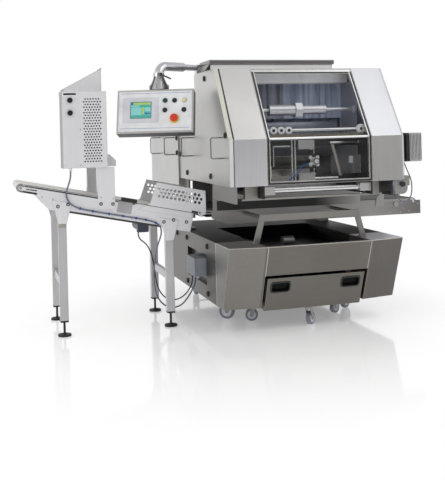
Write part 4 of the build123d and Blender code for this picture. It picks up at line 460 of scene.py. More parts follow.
LOOKS = {
    cover_steel: ("head_side_covers", "rear_housing", "head_front_panels"),
    roof_steel: ("head_roof",),
    door_steel: ("guard_frame",),
    light_steel: ("duster_housing", "duster_lid"),
    plate_steel: ("side_guards", "side_frame"),
    leg_steel: ("side_legs",),
    cross_steel: ("cross_frame",),
    arm_steel: ("conveyor_arms",),
    frame_steel: ("head_frame",),
    inner_steel: ("inner_frame",),
    base_steel: ("base_front_covers", "drawer_front"),
    side_steel: ("base_panels", "drawer_tray"),
    deck_steel: ("base_frame",),
    spindle_steel: ("weight_spindle",),
    bright_steel: ("front_roller", "cross_drive_roller", "cross_tail_roller",
                   "side_drive_roller", "side_tail_roller"),
    handle_steel: ("cover_fittings",),
    chrome: ("panel_arm",),
    guard_clear: ("guard_pane",),
    white_belt: ("side_belt",),
    dark_belt: ("cross_belt",),
    panel_grey: ("panel_box",),
    panel_white: ("panel_face",),
    green_plastic: ("start_button",),
    red_plastic: ("stop_button",),
    black_plastic: ("step_button", "clean_button", "reset_button", "clamp_lever", "duster_knob_upper",
                    "duster_knob_lower"),
    sensor_grey: ("sensors",),
    motor_grey: ("drive_motor",),
    motor_dark: ("side_motor",),
    drum_metal: ("dividing_drum",),
    box_grey: ("junction_box",),
    wheel_grey: ("rear_axle",) + tuple(node for node in nodes if node.endswith("_wheel")),
    fork_zinc: tuple(node for node in nodes if node.endswith("_fork")),
}


def dress(node, material):
    mesh = nodes[node].data
    mesh.materials.clear()
    mesh.materials.append(material)


for look, names in LOOKS.items():
    for node in names:
        dress(node, look)

# Other finishes, and painted light and shade, inside boxes of the drawing: material, low corner, high corner,
# colour, roughness, metallic
PATCHES = (
    # Working chamber
    (inner_steel, (240, 104, 1490), (1100, 136, 1524), BRIGHT, 0.2, 1.0),
    (inner_steel, (310, 88, 1474), (493, 116, 1536), WHITE, 0.4, 0.0),
    (inner_steel, (1012, 88, 1468), (1088, 116, 1546), WHITE, 0.4, 0.0),
    *((inner_steel, (x, 98, 1495), (x + 24, 120, 1519), BLACK, 0.5, 0.0) for x in (329, 390, 450, 1038)),
    (inner_steel, (240, 60, 1450), (1100, 72, 1486), (0.26, 0.24, 0.16), 0.4, 0.8),
    (inner_steel, (530, 240, 1100), (576, 261, 1440), BRIGHT, 0.25, 0.9),
    (inner_steel, (580, 210, 1355), (716, 261, 1435), (0.50, 0.50, 0.50), 0.35, 0.7),
    (inner_steel, (580, 210, 1105), (716, 261, 1182), (0.50, 0.50, 0.50), 0.35, 0.7),
    (inner_steel, (855, 240, 1390), (1100, 261, 1420), BRIGHT, 0.2, 1.0),
    (inner_steel, (716, 240, 1120), (925, 261, 1150), BRIGHT, 0.2, 1.0),
    (inner_steel, (1036, 218, 1160), (1100, 261, 1305), (0.36, 0.36, 0.37), 0.4, 0.6),
    (inner_steel, (850, 247, 1125), (965, 258, 1400), (0.46, 0.46, 0.43), 0.35, 0.7),
    (inner_steel, (380, 258, 1105), (535, 264, 1165), (0.34, 0.33, 0.31), 0.4, 0.6),
    (inner_steel, (240, 55, 1030), (330, 140, 1100), CAST, 0.35, 0.9),
    (inner_steel, (1010, 55, 1030), (1100, 140, 1100), CAST, 0.35, 0.9),
    (inner_steel, (100, 145, 990), (1240, 195, 1106), (0.42, 0.41, 0.38), 0.4, 0.8),
    # Right wall of the chamber, top of its back sheet and the roof's edge above it
    (inner_steel, (1095, 262, 1105), (1101, 780, 1880), (0.34, 0.345, 0.37), 0.4, 0.6),
    (inner_steel, (240, 555, 1862), (1105, 566, 1905), (0.75, 0.75, 0.76), 0.4, 0.5),
    (roof_steel, (240, 405, 1880), (1100, 450, 1985), (0.92, 0.92, 0.93), 0.4, 0.5),
    # Sensors: encoder, door switch, terminal block, socket
    (sensor_grey, (630, 190, 1190), (800, 260, 1345), WHITE, 0.35, 0.1),
    (sensor_grey, (240, 55, 1118), (272, 95, 1250), CREAM, 0.4, 0.0),
    (sensor_grey, (1368, 25, 1058), (1420, 85, 1142), (0.30, 0.29, 0.25), 0.45, 0.2),
    (sensor_grey, (1255, 0, 1060), (1284, 22, 1100), (0.24, 0.26, 0.33), 0.4, 0.1),
    # Guard door: dark seals between bright edges
    (door_steel, (255, -5, 1115), (270, 400, 1960), BLACK, 0.5, 0.0),
    (door_steel, (1070, -5, 1115), (1085, 400, 1960), BLACK, 0.5, 0.0),
    (door_steel, (255, -5, 1115), (1085, 30, 1129), BLACK, 0.5, 0.0),
    (door_steel, (277, 300, 1944), (1063, 345, 1957), (0.03, 0.03, 0.032), 0.4, 0.2),
    # Front panels: painted light, lighter on the lower left and cooler on the upper right
    (cover_steel, (0, -2, 1105), (251, 5, 1449), (0.80, 0.795, 0.82), 0.34, 0.9),
    (cover_steel, (1088, -2, 1451), (1342, 365, 1990), (0.60, 0.605, 0.63), 0.34, 0.9),
    # Seam between the left cover and the front panel: painted shade in the seam
    (cover_steel, (-5, -5, 1455), (7, 420, 1984), (0.05, 0.05, 0.05), 0.5, 0.3),
    (cover_steel, (-4, -5, 1105), (4, 20, 1455), (0.16, 0.16, 0.16), 0.5, 0.5),
    # Rear housing
    (cover_steel, (-60, 1526, 0), (1400, 2700, 2000), (0.50, 0.495, 0.49), 0.34, 0.9),
    # Base corners: painted light, the left corner lighter and the right corner darker
    (base_steel, (-31, -20, 180), (238, 420, 670), (0.245, 0.232, 0.215), 0.36, 0.85),
    (base_steel, (1102, -20, 180), (1371, 420, 670), (0.145, 0.135, 0.125), 0.36, 0.85),
    # Hopper rim
    (roof_steel, (10, 630, 2040), (1100, 1250, 2085), (0.27, 0.26, 0.26), 0.3, 0.95),
    # Strip under the hopper rim
    (roof_steel, (10, 600, 1990), (1100, 662, 2040), (0.95, 0.95, 0.96), 0.4, 0.3),
    # Legs: painted shade just below the bevelled ends of the plates
    (leg_steel, (-1190, 655, 818), (-1105, 672, 888), (0.44, 0.44, 0.40), 0.42, 0.65),
    (leg_steel, (-374, 655, 674), (-294, 672, 742), (0.44, 0.44, 0.40), 0.42, 0.65),
    # Legs: caps and feet
    (leg_steel, (-1250, 640, -1), (-200, 1350, 118.5), (0.018, 0.018, 0.018), 0.5, 0.0),
    # Belt edges: dark edge of the belt, and painted shade of the gap between belt and plate
    (white_belt, (-1600, 660, 0), (0, 682, 2000), (0.05, 0.05, 0.048), 0.6, 0.0),
    # Drive motor: black plate between the gearbox and the fins
    (motor_grey, (1465, 150, 1200), (1506.5, 450, 1500), (0.02, 0.02, 0.021), 0.4, 0.2),
    (motor_grey, (1506.5, 150, 1200), (1640, 450, 1500), (0.72, 0.72, 0.72), 0.35, 0.6),
    # Drawer grips
    (base_steel, (311, 90, 301), (460, 330, 383), BLACK, 0.4, 1.0),
    (base_steel, (880, 90, 301), (1029, 330, 383), BLACK, 0.4, 1.0),
    # Bright edges of the fascia and of the base's left panel: painted highlights
    (base_steel, (254, -20, 415), (259, 300, 664), (0.55, 0.53, 0.50), 0.3, 0.9),
    (base_steel, (1081, -20, 415), (1086, 300, 664), (0.50, 0.48, 0.45), 0.3, 0.9),
    (base_steel, (-31, -20, 657), (1371, 440, 662.6), (0.42, 0.40, 0.37), 0.3, 0.9),
    (side_steel, (-31, 430, 190), (-29, 438, 660), (0.70, 0.69, 0.67), 0.3, 0.9),
    # Top of the right base corner: painted reflection, lighter than the base
    (base_steel, (1088, -20, 662.7), (1372, 440, 664), (0.55, 0.55, 0.60), 0.3, 0.7),
    # Left side of the duster's drive box
    (light_steel, (-1141, 630, 1262), (-1139.4, 815, 1842), (0.30, 0.30, 0.31), 0.42, 0.5),
    # Plates that join the front legs to the side conveyor
    (leg_steel, (-1240, 655, 835), (-1070, 666, 1040), (0.88, 0.87, 0.90), 0.42, 0.35),
    (leg_steel, (-418, 655, 665), (-248, 666, 865), (0.88, 0.87, 0.90), 0.42, 0.35),
    # Inside of the duster's drive box: painted shade, black
    (light_steel, (-1138.5, 637.2, 1264.5), (-806.5, 811, 1839.5), BLACK, 0.6, 0.0),
    # Apron beside the hopper
    (roof_steel, (-30, 636, 1986), (20, 864, 2052), (0.30, 0.30, 0.30), 0.35, 0.9),
    # Right deck
    (deck_steel, (1083, 60, 655), (1380, 400, 670), (0.34, 0.33, 0.32), 0.35, 0.8),
    # Fan motor in the well
    (deck_steel, (600, 640, 566), (730, 760, 660), (0.34, 0.34, 0.36), 0.4, 0.8),
)
for finish in PATCHES:
    patch(*finish)

# Back sheet: blue streaks painted as reflections, and painted light making it brighter on the right
STREAK_REFLECTIONS = (
    (200, 600, (0.13, 0.133, 0.16), (0.52, 0.54, 0.68)),
    (600, 1140, (0.28, 0.32, 0.48), (0.76, 0.84, 1.0)),
)


def paint_streak_reflections():
    tree = inner_steel.node_tree
    streaks = noise(tree, place_coordinates(tree, (1, 1, 0.04)), 38.0, 4.0)
    share = spread(tree, streaks, 0.0, 1.0, 0.36, 0.72)
    for left, right, low_colour, high_colour in STREAK_REFLECTIONS:
        paint(inner_steel, box_mask(tree, (left, 555, 1500), (right, 570, 1950)),
              mix(tree, "RGBA", share, low_colour, high_colour), 0.4, 0.2)


paint_streak_reflections()

# Side covers: painted shade below their top. Lower right front panel: painted shade, darker towards its
# bottom
shade(cover_steel, (-31, 20, 1100), (-4, 1525, 1990), 1740, 1880, 0.80)
shade(cover_steel, (1344, 20, 1100), (1371, 1525, 1990), 1740, 1880, 0.80)
shade(cover_steel, (1088, -5, 1105), (1342, 5, 1449), 1120, 1440, 0.82)

# Cross conveyor: painted shade along the belt on the left, and painted shade darker towards its right end
shade(cross_steel, (60, 678, 882), (1400, 684, 960), 900, 1300, 0.16, "X")
shade(cross_steel, (1300, 678, 700), (1990, 684, 960), 1850, 1400, 0.5, "X")

# Chamfer of the left cover along the slope: painted highlight, lighter than the cover
SLOPE_OUT = Vector((0, -535, 340)).normalized()
CHAMFER_DEPTH = 0.027


def paint_chamfer_highlight():
    tree = cover_steel.node_tree
    behind = behind_mask(tree, at(0, 0, FOLD_HEIGHT), SLOPE_OUT, CHAMFER_DEPTH)
    beside = box_mask(tree, (-31, -5, 1455), (-5, 420, 1984))
    edge = calculate(tree, "MULTIPLY", calculate(tree, "SUBTRACT", 1.0, behind), beside)
    paint(cover_steel, edge, (0.74, 0.73, 0.64), 0.3, 0.8)


paint_chamfer_highlight()

# Side conveyor: painted shade along the bottom and top edges of the front plate and in the seam under the
# guard; steel plate of the belt sensor
NOSE = at(-1452, 667, 1130)
CONVEYOR_TILT = math.radians(12)
CONVEYOR_UP = Vector((math.sin(CONVEYOR_TILT), 0, math.cos(CONVEYOR_TILT)))
# Material, low corner, high corner, bottom and top of the band above the nose, colour, roughness, metallic
BANDS = (
    (plate_steel, (-1100, 666.8, 700), (-400, 672, 1200), -128, -110, (0.06, 0.058, 0.055), 0.45, 0.4),
    (plate_steel, (-1465, 666.8, 800), (-600, 672, 1200), 14, 24, (0.05, 0.05, 0.05), 0.5, 0.3),
    (plate_steel, (-590, 660, 800), (-130, 667.5, 1100), 24, 29, (0.10, 0.10, 0.10), 0.5, 0.4),
    (sensor_grey, (-760, 640, 840), (-590, 668, 1020), -70, 26, (0.52, 0.51, 0.52), 0.3, 0.8),
)


def paint_bands():
    for material, low, high, bottom, top, colour, roughness, metallic in BANDS:
        tree = material.node_tree
        band = band_mask(tree, NOSE, CONVEYOR_UP, bottom, top)
        inside = calculate(tree, "MULTIPLY", box_mask(tree, low, high), band)
        paint(material, inside, colour, roughness, metallic)


paint_bands()

# Sides that pieces face, as (outward, up)
LEFT = (Vector((-1, 0, 0)), Vector((0, 0, 1)))
FRONT = (Vector((0, -1, 0)), Vector((0, 0, 1)))
DOWN = (Vector((0, 0, -1)), Vector((0, 1, 0)))
RIGHT = (Vector((1, 0, 0)), Vector((0, 0, 1)))

# Control panel: middle of its front, turn and tilt
PANEL_MIDDLE = (-442.7, 572.7, 1680.9)
PANEL_TURN = math.radians(-22)
PANEL_TILT = math.radians(-16)


# Meshes
def stand(point, side):
    """Matrix that stands millimetre shapes on a point of the frame, with local Z outward."""
    out, up = side
    basis = Matrix((up.cross(out), up, out)).transposed().to_4x4()
    return Matrix.Translation(point) @ basis @ Matrix.Scale(MM, 4)


def facing(place, side):
    """Matrix that stands millimetre shapes on a point of the drawing, with local Z outward."""
    return stand(at(*place), side)


PANEL = (Matrix.Translation(at(*PANEL_MIDDLE)) @ Matrix.Rotation(PANEL_TURN, 4, "Z")
         @ Matrix.Rotation(PANEL_TILT, 4, "X") @ Matrix.Scale(MM, 4))
PANEL_OUT = Matrix(((1, 0, 0), (0, 0, -1), (0, 1, 0))).to_4x4()
PANEL_FRONT = -PANEL.col[1].to_3d().normalized()
FRONT_DEPTH = 0.010

# Sides and back of the panel's box: painted shade, darker than its front
paint(panel_grey, behind_mask(panel_grey.node_tree, at(*PANEL_MIDDLE), PANEL_FRONT, FRONT_DEPTH),
      (0.085, 0.085, 0.088), 0.4, 0.5)


def on_panel(x, z, out=0.0):
    """Matrix at a point of the panel's front, with local Z outward."""
    return PANEL @ Matrix.Translation((x, -out, z)) @ PANEL_OUT


def add_lathe(bm, matrix, profile, sides=32):
    """Turned shape through (radius, height) points."""
    rings = []
    for radius, height in profile:
        count = sides if radius else 1
        rings.append([bm.verts.new(matrix @ Vector((radius * math.cos(2 * math.pi * k / sides),
                                                    radius * math.sin(2 * math.pi * k / sides), height)))
                      for k in range(count)])
    for lower, upper in zip(rings, rings[1:]):
        for k in range(sides):
            corners = [lower[k % len(lower)], lower[(k + 1) % len(lower)],
                       upper[(k + 1) % len(upper)], upper[k % len(upper)]]
            bm.faces.new(list(dict.fromkeys(corners)))


def add_slab(bm, matrix, outline, thickness, inset=0.0):
    """Flat shape from its outline, with a bevel of the given inset on its front."""
    middle = Vector((sum(x for x, y in outline), sum(y for x, y in outline))) / len(outline)
    layers = []
    for height, shrink in ((0, 0.0), (thickness - inset, 0.0), (thickness, inset)):
        ring = []
        for x, y in outline:
            away = Vector((x, y)) - middle
            spot = Vector((x, y)) - away.normalized() * shrink
            ring.append(bm.verts.new(matrix @ Vector((spot.x, spot.y, height))))
        layers.append(ring)
    count = len(outline)
    for lower, upper in zip(layers, layers[1:]):
        for k in range(count):
            bm.faces.new((lower[k], lower[(k + 1) % count], upper[(k + 1) % count], upper[k]))
    bm.faces.new(layers[0][::-1])
    bm.faces.new(layers[-1])


def rectangle(x0, x1, z0, z1):
    return [(x0, z0), (x1, z0), (x1, z1), (x0, z1)]


def rounded(width, height, corner, steps=6):
    """Outline of a rectangle with round corners, about its middle."""
    points = []
    for quarter, (sx, sy) in enumerate(((1, 1), (-1, 1), (-1, -1), (1, -1))):
        for step in range(steps + 1):
            angle = math.pi / 2 * (quarter + step / steps)
            points.append((sx * (width / 2 - corner) + corner * math.cos(angle),
                           sy * (height / 2 - corner) + corner * math.sin(angle)))
    return points


SHARP = math.radians(35)


def make_piece(name, bm, body, material):
    """Object from a mesh, riding a body of the part."""
    bmesh.ops.recalc_face_normals(bm, faces=bm.faces)
    mesh = bpy.data.meshes.new(name)
    bm.to_mesh(mesh)
    bm.free()
    mesh.shade_smooth()
    mesh.set_sharp_from_angle(angle=SHARP)
    mesh.materials.append(material)
    piece = bpy.data.objects.new(name, mesh)
    bpy.context.collection.objects.link(piece)
    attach(piece, body)


# Cable ties round the duster lead: how far along the conveyor they are
TIE_PLACES = [-1024, -920, -803, -693, -600, -518, -444]
TIE_SIDES = 16
TIE_REACH = 5
TIE_PROFILE = [(6.4, -TIE_REACH), (9.6, -TIE_REACH), (9.6, TIE_REACH), (6.4, TIE_REACH), (6.4, -TIE_REACH)]
TIE_LOCK = [(-5, 7), (5, 7), (5, 15), (-5, 15)]


def make_ties():
    points = points_along(DUSTER_LEAD)
    bm = bmesh.new()
    for place in TIE_PLACES:
        here = min(range(len(points)), key=lambda k: abs(points[k].x - at(place, 0, 0).x))
        along = (points[here + 1] - points[here - 1]).normalized()
        matrix = stand(points[here], (along, Vector((0, -1, 0))))
        add_lathe(bm, matrix, TIE_PROFILE, TIE_SIDES)
        add_slab(bm, matrix @ Matrix.Translation((0, 0, -TIE_REACH)), TIE_LOCK, 2 * TIE_REACH, 1)
    make_piece("cable_ties", bm, "machine", tie_blue)


make_ties()

# Control panel
LINE_SIZE = (536, 3)
LINE_HEIGHTS = (144, -136)
LINE_THICK = 0.4
LCD = (-189, -32, -53.5, 72.5)
# Name, material, left, right, low and high edge, margin, corner, thickness and bevel
SCREEN_FRAMES = (
    ("screen_bezel", bezel_grey, (-251, 25, -91.5, 109.5), 0, 8, 2.5, 1.2),
    ("screen_edge", screen_edge, LCD, 8, 3, 3.0, 0.6),
)


def make_panel_lines():
    bm = bmesh.new()
    width, height = LINE_SIZE
    for z in LINE_HEIGHTS:
        add_slab(bm, on_panel(0, z), rectangle(-width / 2, width / 2, -height / 2, height / 2), LINE_THICK)
    make_piece("panel_lines", bm, "panel", line_blue)


def make_screen():
    for name, material, (x0, x1, z0, z1), margin, corner, thickness, bevel in SCREEN_FRAMES:
        bm = bmesh.new()
        outline = rounded(x1 - x0 + margin, z1 - z0 + margin, corner)
        add_slab(bm, on_panel((x0 + x1) / 2, (z0 + z1) / 2), outline, thickness, bevel)
        make_piece(name, bm, "panel", material)


SCREEN_GLOW = 0.25


def screen_colour(name, colour):
    """Lit display colour."""
    material = moulded(name, colour, 0.22)
    shader = material.node_tree.nodes["Principled BSDF"]
    shader.inputs["Emission Color"].default_value = (*colour, 1)
    shader.inputs["Emission Strength"].default_value = SCREEN_GLOW
    return material


TEAL = screen_colour("screen_teal", (0.10, 0.42, 0.40))
AQUA = screen_colour("screen_aqua", (0.22, 0.55, 0.52))
LIME = screen_colour("screen_lime", (0.36, 0.52, 0.12))
GREEN = screen_colour("screen_green", (0.05, 0.36, 0.24))
DEEP = screen_colour("screen_deep", (0.02, 0.13, 0.28))
# Areas of the display: material, left, right, low and high share of its size, layer
SCREEN_AREAS = (
    (TEAL, 0.0, 1.0, 0.0, 1.0, 1), (LIME, 0.14, 0.98, 0.84, 0.98, 2), (DEEP, 0.02, 0.11, 0.84, 0.98, 2),
    (GREEN, 0.46, 0.98, 0.70, 0.80, 2), (AQUA, 0.03, 0.52, 0.20, 0.66, 2), (AQUA, 0.03, 0.40, 0.70, 0.80, 2),
    (LIME, 0.55, 0.66, 0.24, 0.66, 2), (AQUA, 0.70, 0.98, 0.42, 0.66, 2), (DEEP, 0.70, 0.84, 0.22, 0.34, 2),
    (DEEP, 0.86, 0.98, 0.24, 0.32, 2), (GREEN, 0.02, 0.24, 0.03, 0.15, 2), (GREEN, 0.27, 0.49, 0.03, 0.15, 2),
    (GREEN, 0.52, 0.74, 0.03, 0.15, 2), (GREEN, 0.77, 0.98, 0.03, 0.15, 2),
)
SCREEN_OUT = 2.8
SCREEN_THICK = 0.4
SCREEN_STEP = 0.3


def make_display():
    x0, x1, z0, z1 = LCD
    for number, (material, left, right, low, high, layer) in enumerate(SCREEN_AREAS):
        bm = bmesh.new()
        outline = rectangle(x0 + (x1 - x0) * left, x0 + (x1 - x0) * right,
                            z0 + (z1 - z0) * low, z0 + (z1 - z0) * high)
        add_slab(bm, on_panel(0, 0, SCREEN_OUT), outline, SCREEN_THICK + SCREEN_STEP * layer)
        make_piece("display_%d" % number, bm, "panel", material)


BUTTONS = [(76, 83), (149, 82), (75, 6), (222, 6)]
LAMP = (225, 82)
STOP = (149, -62)
BEZEL_PROFILE = [(15.3, 0), (15.3, 4.6), (16, 5.2), (18, 4.8), (19.2, 3), (19.4, 0)]
LAMP_RING = [(15.4, 0), (15.4, 5), (17.2, 5), (18.6, 3.5), (18.8, 0)]
LAMP_DOME = [(15.3, 0), (15.3, 9), (13.5, 11.4), (9.5, 13), (4.5, 13.7), (0, 13.9)]
STOP_RING = [(37.4, 0), (37.4, 2.4), (36.4, 3), (12, 3.0), (12, 2.2)]


def make_button_rings():
    bm = bmesh.new()
    for x, z in BUTTONS:
        add_lathe(bm, on_panel(x, z), BEZEL_PROFILE)
    make_piece("button_rings", bm, "panel", black_plastic)
    bm = bmesh.new()
    add_lathe(bm, on_panel(*LAMP), LAMP_RING)
    make_piece("lamp_ring", bm, "panel", zinc)
    bm = bmesh.new()
    add_lathe(bm, on_panel(*LAMP), LAMP_DOME)
    make_piece("lamp_lens", bm, "panel", lamp_cream)
    bm = bmesh.new()
    add_lathe(bm, on_panel(*STOP), STOP_RING, 48)
    make_piece("stop_ring", bm, "panel", yellow_plastic)


make_panel_lines()
make_screen()
make_display()
make_button_rings()

# Ribs of the bell over the panel
BELL = (-384, 678, 1851.5)
RIB_OUTLINE = [(33, 88), (45, 88), (50, 72), (62, 46), (66, 40), (80, 30), (80, 1), (66, 1)]
RIB_COUNT = 8
RIB_THICK = 5
# Share of the pitch by which the first rib is turned
RIB_START = 0.35


def make_bell_ribs():
    bm = bmesh.new()
    for number in range(RIB_COUNT):
        angle = 2 * math.pi * (number + RIB_START) / RIB_COUNT
        across = Vector((-math.sin(angle), math.cos(angle), 0))
        matrix = facing(BELL, (across, Vector((0, 0, 1)))) @ Matrix.Translation((0, 0, -RIB_THICK / 2))
        add_slab(bm, matrix, RIB_OUTLINE, RIB_THICK)
    make_piece("bell_ribs", bm, "panel", zinc)


make_bell_ribs()

# Latches on the left side: covers, base and rear housing
COVER_LATCHES = [(628, 1929), (100, 1482), (513, 1168), (1246, 1168), (1480, 1321)]
BASE_LATCHES = [(680, 604), (1326, 604), (1677, 604), (680, 229), (1326, 229)]
HOUSING_LATCHES = [(1560, 1332), (1560, 1463)]
COVER_X = -30
HOUSING_X = -42
LATCH_CAP = [(22.5, 0), (22.5, 7), (21.2, 9.2), (17.5, 9.8), (16.5, 8.6), (0, 8.6)]
WING_SIZE = (7, 26, 3)
WING_BASE = 8
WING_THICK = 5


def make_latches():
    bm = bmesh.new()
    places = [(COVER_X, y, z) for y, z in COVER_LATCHES + BASE_LATCHES]
    places += [(HOUSING_X, y, z) for y, z in HOUSING_LATCHES]
    for place in places:
        matrix = facing(place, LEFT)
        add_lathe(bm, matrix, LATCH_CAP)
        add_slab(bm, matrix @ Matrix.Translation((0, 0, WING_BASE)), rounded(*WING_SIZE), WING_THICK, 1)
    make_piece("latch_caps", bm, "machine", black_plastic)


make_latches()

# Bolts: places and the side they face
HEX = 6
BOLT_WASHER = [(13.5, 0), (13.5, 1.4), (12.8, 1.8), (0, 1.8)]
BOLT_HEAD = [(8.5, 1.6), (8.5, 6.4), (7.4, 7.2), (0, 7.2)]
SCREW_SIDES = 20
SCREW_HEAD = [(5.5, 0), (5.5, 1.2), (4.2, 2.6), (1.8, 3.2), (0, 3.2)]
PLATE_Y = 667
GUSSET_Y = 663
CROSS_Y = 680
HEX_BOLTS = [
    (-1184, GUSSET_Y, 981), (-1109, GUSSET_Y, 992), (-376, GUSSET_Y, 820), (-299, GUSSET_Y, 831),
    (-861, GUSSET_Y, 984), (-770, GUSSET_Y, 979), (-195, PLATE_Y, 809),
]
SCREWS = [
    (-1299, PLATE_Y, 1057), (-1219, PLATE_Y, 1039), (-728, GUSSET_Y, 919), (-647, GUSSET_Y, 904),
    (-860, GUSSET_Y, 1033), (-765, GUSSET_Y, 1021), (-1004, 637, 1553), (-1009, 637, 1285),
    (1568, CROSS_Y, 785), (1590, CROSS_Y, 791), (1686, CROSS_Y, 787), (1696, CROSS_Y, 868),
    (1711, CROSS_Y, 820), (1850, CROSS_Y, 852), (1767, CROSS_Y, 792),
]


def make_bolts():
    bm = bmesh.new()
    for place in HEX_BOLTS:
        add_lathe(bm, facing(place, FRONT), BOLT_WASHER)
    make_piece("bolt_washers", bm, "machine", dark_rubber)
    bm = bmesh.new()
    for place in HEX_BOLTS:
        add_lathe(bm, facing(place, FRONT), BOLT_HEAD, HEX)
    make_piece("hex_bolts", bm, "machine", zinc)
    bm = bmesh.new()
    for place in SCREWS:
        add_lathe(bm, facing(place, FRONT), SCREW_HEAD, SCREW_SIDES)
    make_piece("screws", bm, "machine", zinc)


make_bolts()

# Guard door: bright strip along its fold
STRIP_LEFT = 277
STRIP_RIGHT = 1063
STRIP_OUTLINE = [(9, -9), (9, -8), (7.2, -1), (11.2, 6), (10.4, 6.6), (6.2, -0.6), (8.2, -9)]


def make_fold_strip():
    bm = bmesh.new()
    add_slab(bm, facing((STRIP_LEFT, 0, FOLD_HEIGHT), RIGHT), STRIP_OUTLINE, STRIP_RIGHT - STRIP_LEFT)
    make_piece("fold_strip", bm, "guard", bright_steel)


make_fold_strip()

# Working chamber: rail with its hanger, strips beside the blocks, stop block and encoder cap
BEAM_FRONT = 262
PLATE_FRONT = 250
ENCODER = (719, 193, 1267)
ENCODER_CAP = [(18, -1), (18, 2.5), (16.5, 3.5), (0, 3.5)]
ENCODER_RING = [(25, -1), (25, 0.8), (19, 0.8), (19, -1), (25, -1)]
# Left, right, low, high, how far they stand out, and the depth of the surface that they stand on
BARS = ((385, 531, 1381, 1391, 12, BEAM_FRONT), (386, 396, 1232, 1392, 14, BEAM_FRONT),
        (714, 722, 1112, 1212, 9, PLATE_FRONT), (714, 722, 1322, 1428, 9, PLATE_FRONT))
BAR_BEVEL = 1.5
STOP_BLOCK = (1012, 1036, 1243, 1299, 26, 248)
BLOCK_BEVEL = 3


def add_bar(bm, bar, bevel):
    left, right, low, high, reach, back = bar
    outline = rectangle(0, right - left, 0, high - low)
    add_slab(bm, facing((left, back, low), FRONT), outline, reach, bevel)


def make_mechanism():
    bm = bmesh.new()
    for bar in BARS:
        add_bar(bm, bar, BAR_BEVEL)
    make_piece("chamber_bars", bm, "machine", bright_steel)
    bm = bmesh.new()
    add_bar(bm, STOP_BLOCK, BLOCK_BEVEL)
    add_lathe(bm, facing(ENCODER, FRONT), ENCODER_CAP)
    make_piece("chamber_blocks", bm, "machine", gland_white)
    bm = bmesh.new()
    add_lathe(bm, facing(ENCODER, FRONT), ENCODER_RING)
    make_piece("encoder_ring", bm, "machine", black_plastic)


make_mechanism()

# Terminal block: rows of clamps on its right side
TERMINALS = (272, 75, 1158)
TERMINAL_PITCH = 12
TERMINAL_ROWS = 8
TERMINAL_REACH = 32
TERMINAL_OUTLINE = rectangle(-17, 15, -5, 5)
TERMINAL_BEVEL = 2


def make_terminals():
    bm = bmesh.new()
    x, y, z = TERMINALS
    for row in range(TERMINAL_ROWS):
        matrix = facing((x, y, z + row * TERMINAL_PITCH), RIGHT)
        add_slab(bm, matrix, TERMINAL_OUTLINE, TERMINAL_REACH, TERMINAL_BEVEL)
    make_piece("terminal_rows", bm, "machine", terminal_cream)


make_terminals()

# Drawer: rims round the sunk grips
GRIPS = [(385.5, 154.5, 342), (954.5, 154.5, 342)]
DRAWER_LEAN = math.atan2(194, 481)
RIM_OUTER = (160, 92, 28)
RIM_INNER = (138, 71, 18)
RIM_THICK = 4


def add_frame(bm, matrix, outer, inner, thickness):
    """Flat ring between two outlines with as many points each."""
    rings = [[bm.verts.new(matrix @ Vector((x, y, height))) for x, y in outline]
             for outline, height in ((outer, 0), (outer, thickness), (inner, thickness), (inner, 0))]
    count = len(outer)
    for first, second in zip(rings, rings[1:] + rings[:1]):
        for k in range(count):
            bm.faces.new((first[k], first[(k + 1) % count], second[(k + 1) % count], second[k]))


def make_grip_rims():
    out = Vector((0, -math.cos(DRAWER_LEAN), -math.sin(DRAWER_LEAN)))
    up = Vector((0, -math.sin(DRAWER_LEAN), math.cos(DRAWER_LEAN)))
    bm = bmesh.new()
    for place in GRIPS:
        add_frame(bm, facing(place, (out, up)), rounded(*RIM_OUTER), rounded(*RIM_INNER), RIM_THICK)
    make_piece("grip_rims", bm, "drawer", black_plastic)


make_grip_rims()

# Casters: hub rings on both sides of each wheel
HUB_BORE = 12
HUB_SHARE = 0.66
HUB_THICK = 2
HUB_DISH = 1.2
HUB_EDGE = 0.6
HUB_LIP = 4
HUB_SLOPE = 7


def make_hubs():
    up = Vector((0, 0, 1))
    for node in nodes:
        if node.endswith("_wheel"):
            low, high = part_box(node)
            middle = (low + high) / 2
            radius = (high.z - low.z) / 2 / MM * HUB_SHARE
            profile = [(radius, 0), (radius, HUB_THICK - HUB_EDGE), (radius - 1, HUB_THICK),
                       (radius - HUB_LIP, HUB_THICK), (radius - HUB_SLOPE, HUB_DISH),
                       (HUB_BORE + HUB_SLOPE, HUB_DISH), (HUB_BORE + HUB_LIP, HUB_THICK),
                       (HUB_BORE, HUB_THICK), (HUB_BORE, 0)]
            mesh = nodes[node].data
            flats = [polygon for polygon in mesh.polygons if abs(polygon.normal.z) < 0.001]
            axis = max(flats, key=lambda polygon: polygon.area).normal.copy()
            reach = max((vertex.co - middle).dot(axis) for vertex in mesh.vertices)
            bm = bmesh.new()
            for side in (axis, -axis):
                add_lathe(bm, stand(middle + side * reach, (side, up)), profile)
            make_piece(node + "_hubs", bm, body_of(nodes[node])[0], hub_white)


make_hubs()

# Junction box: lid and gland nuts
BOX_LOW, BOX_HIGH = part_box("junction_box")
BOX_BOTTOM = 362
GLAND_NUT = [(12.4, 0), (15.5, 0), (15.5, 9), (14, 11), (13, 17), (10.5, 21.5), (8, 22), (6.4, 22)]
GLANDS = [(-85, y, BOX_BOTTOM) for y in (850, 950, 770)]
LID_EDGE = 8
LID_THICK = 9
LID_BEVEL = 3


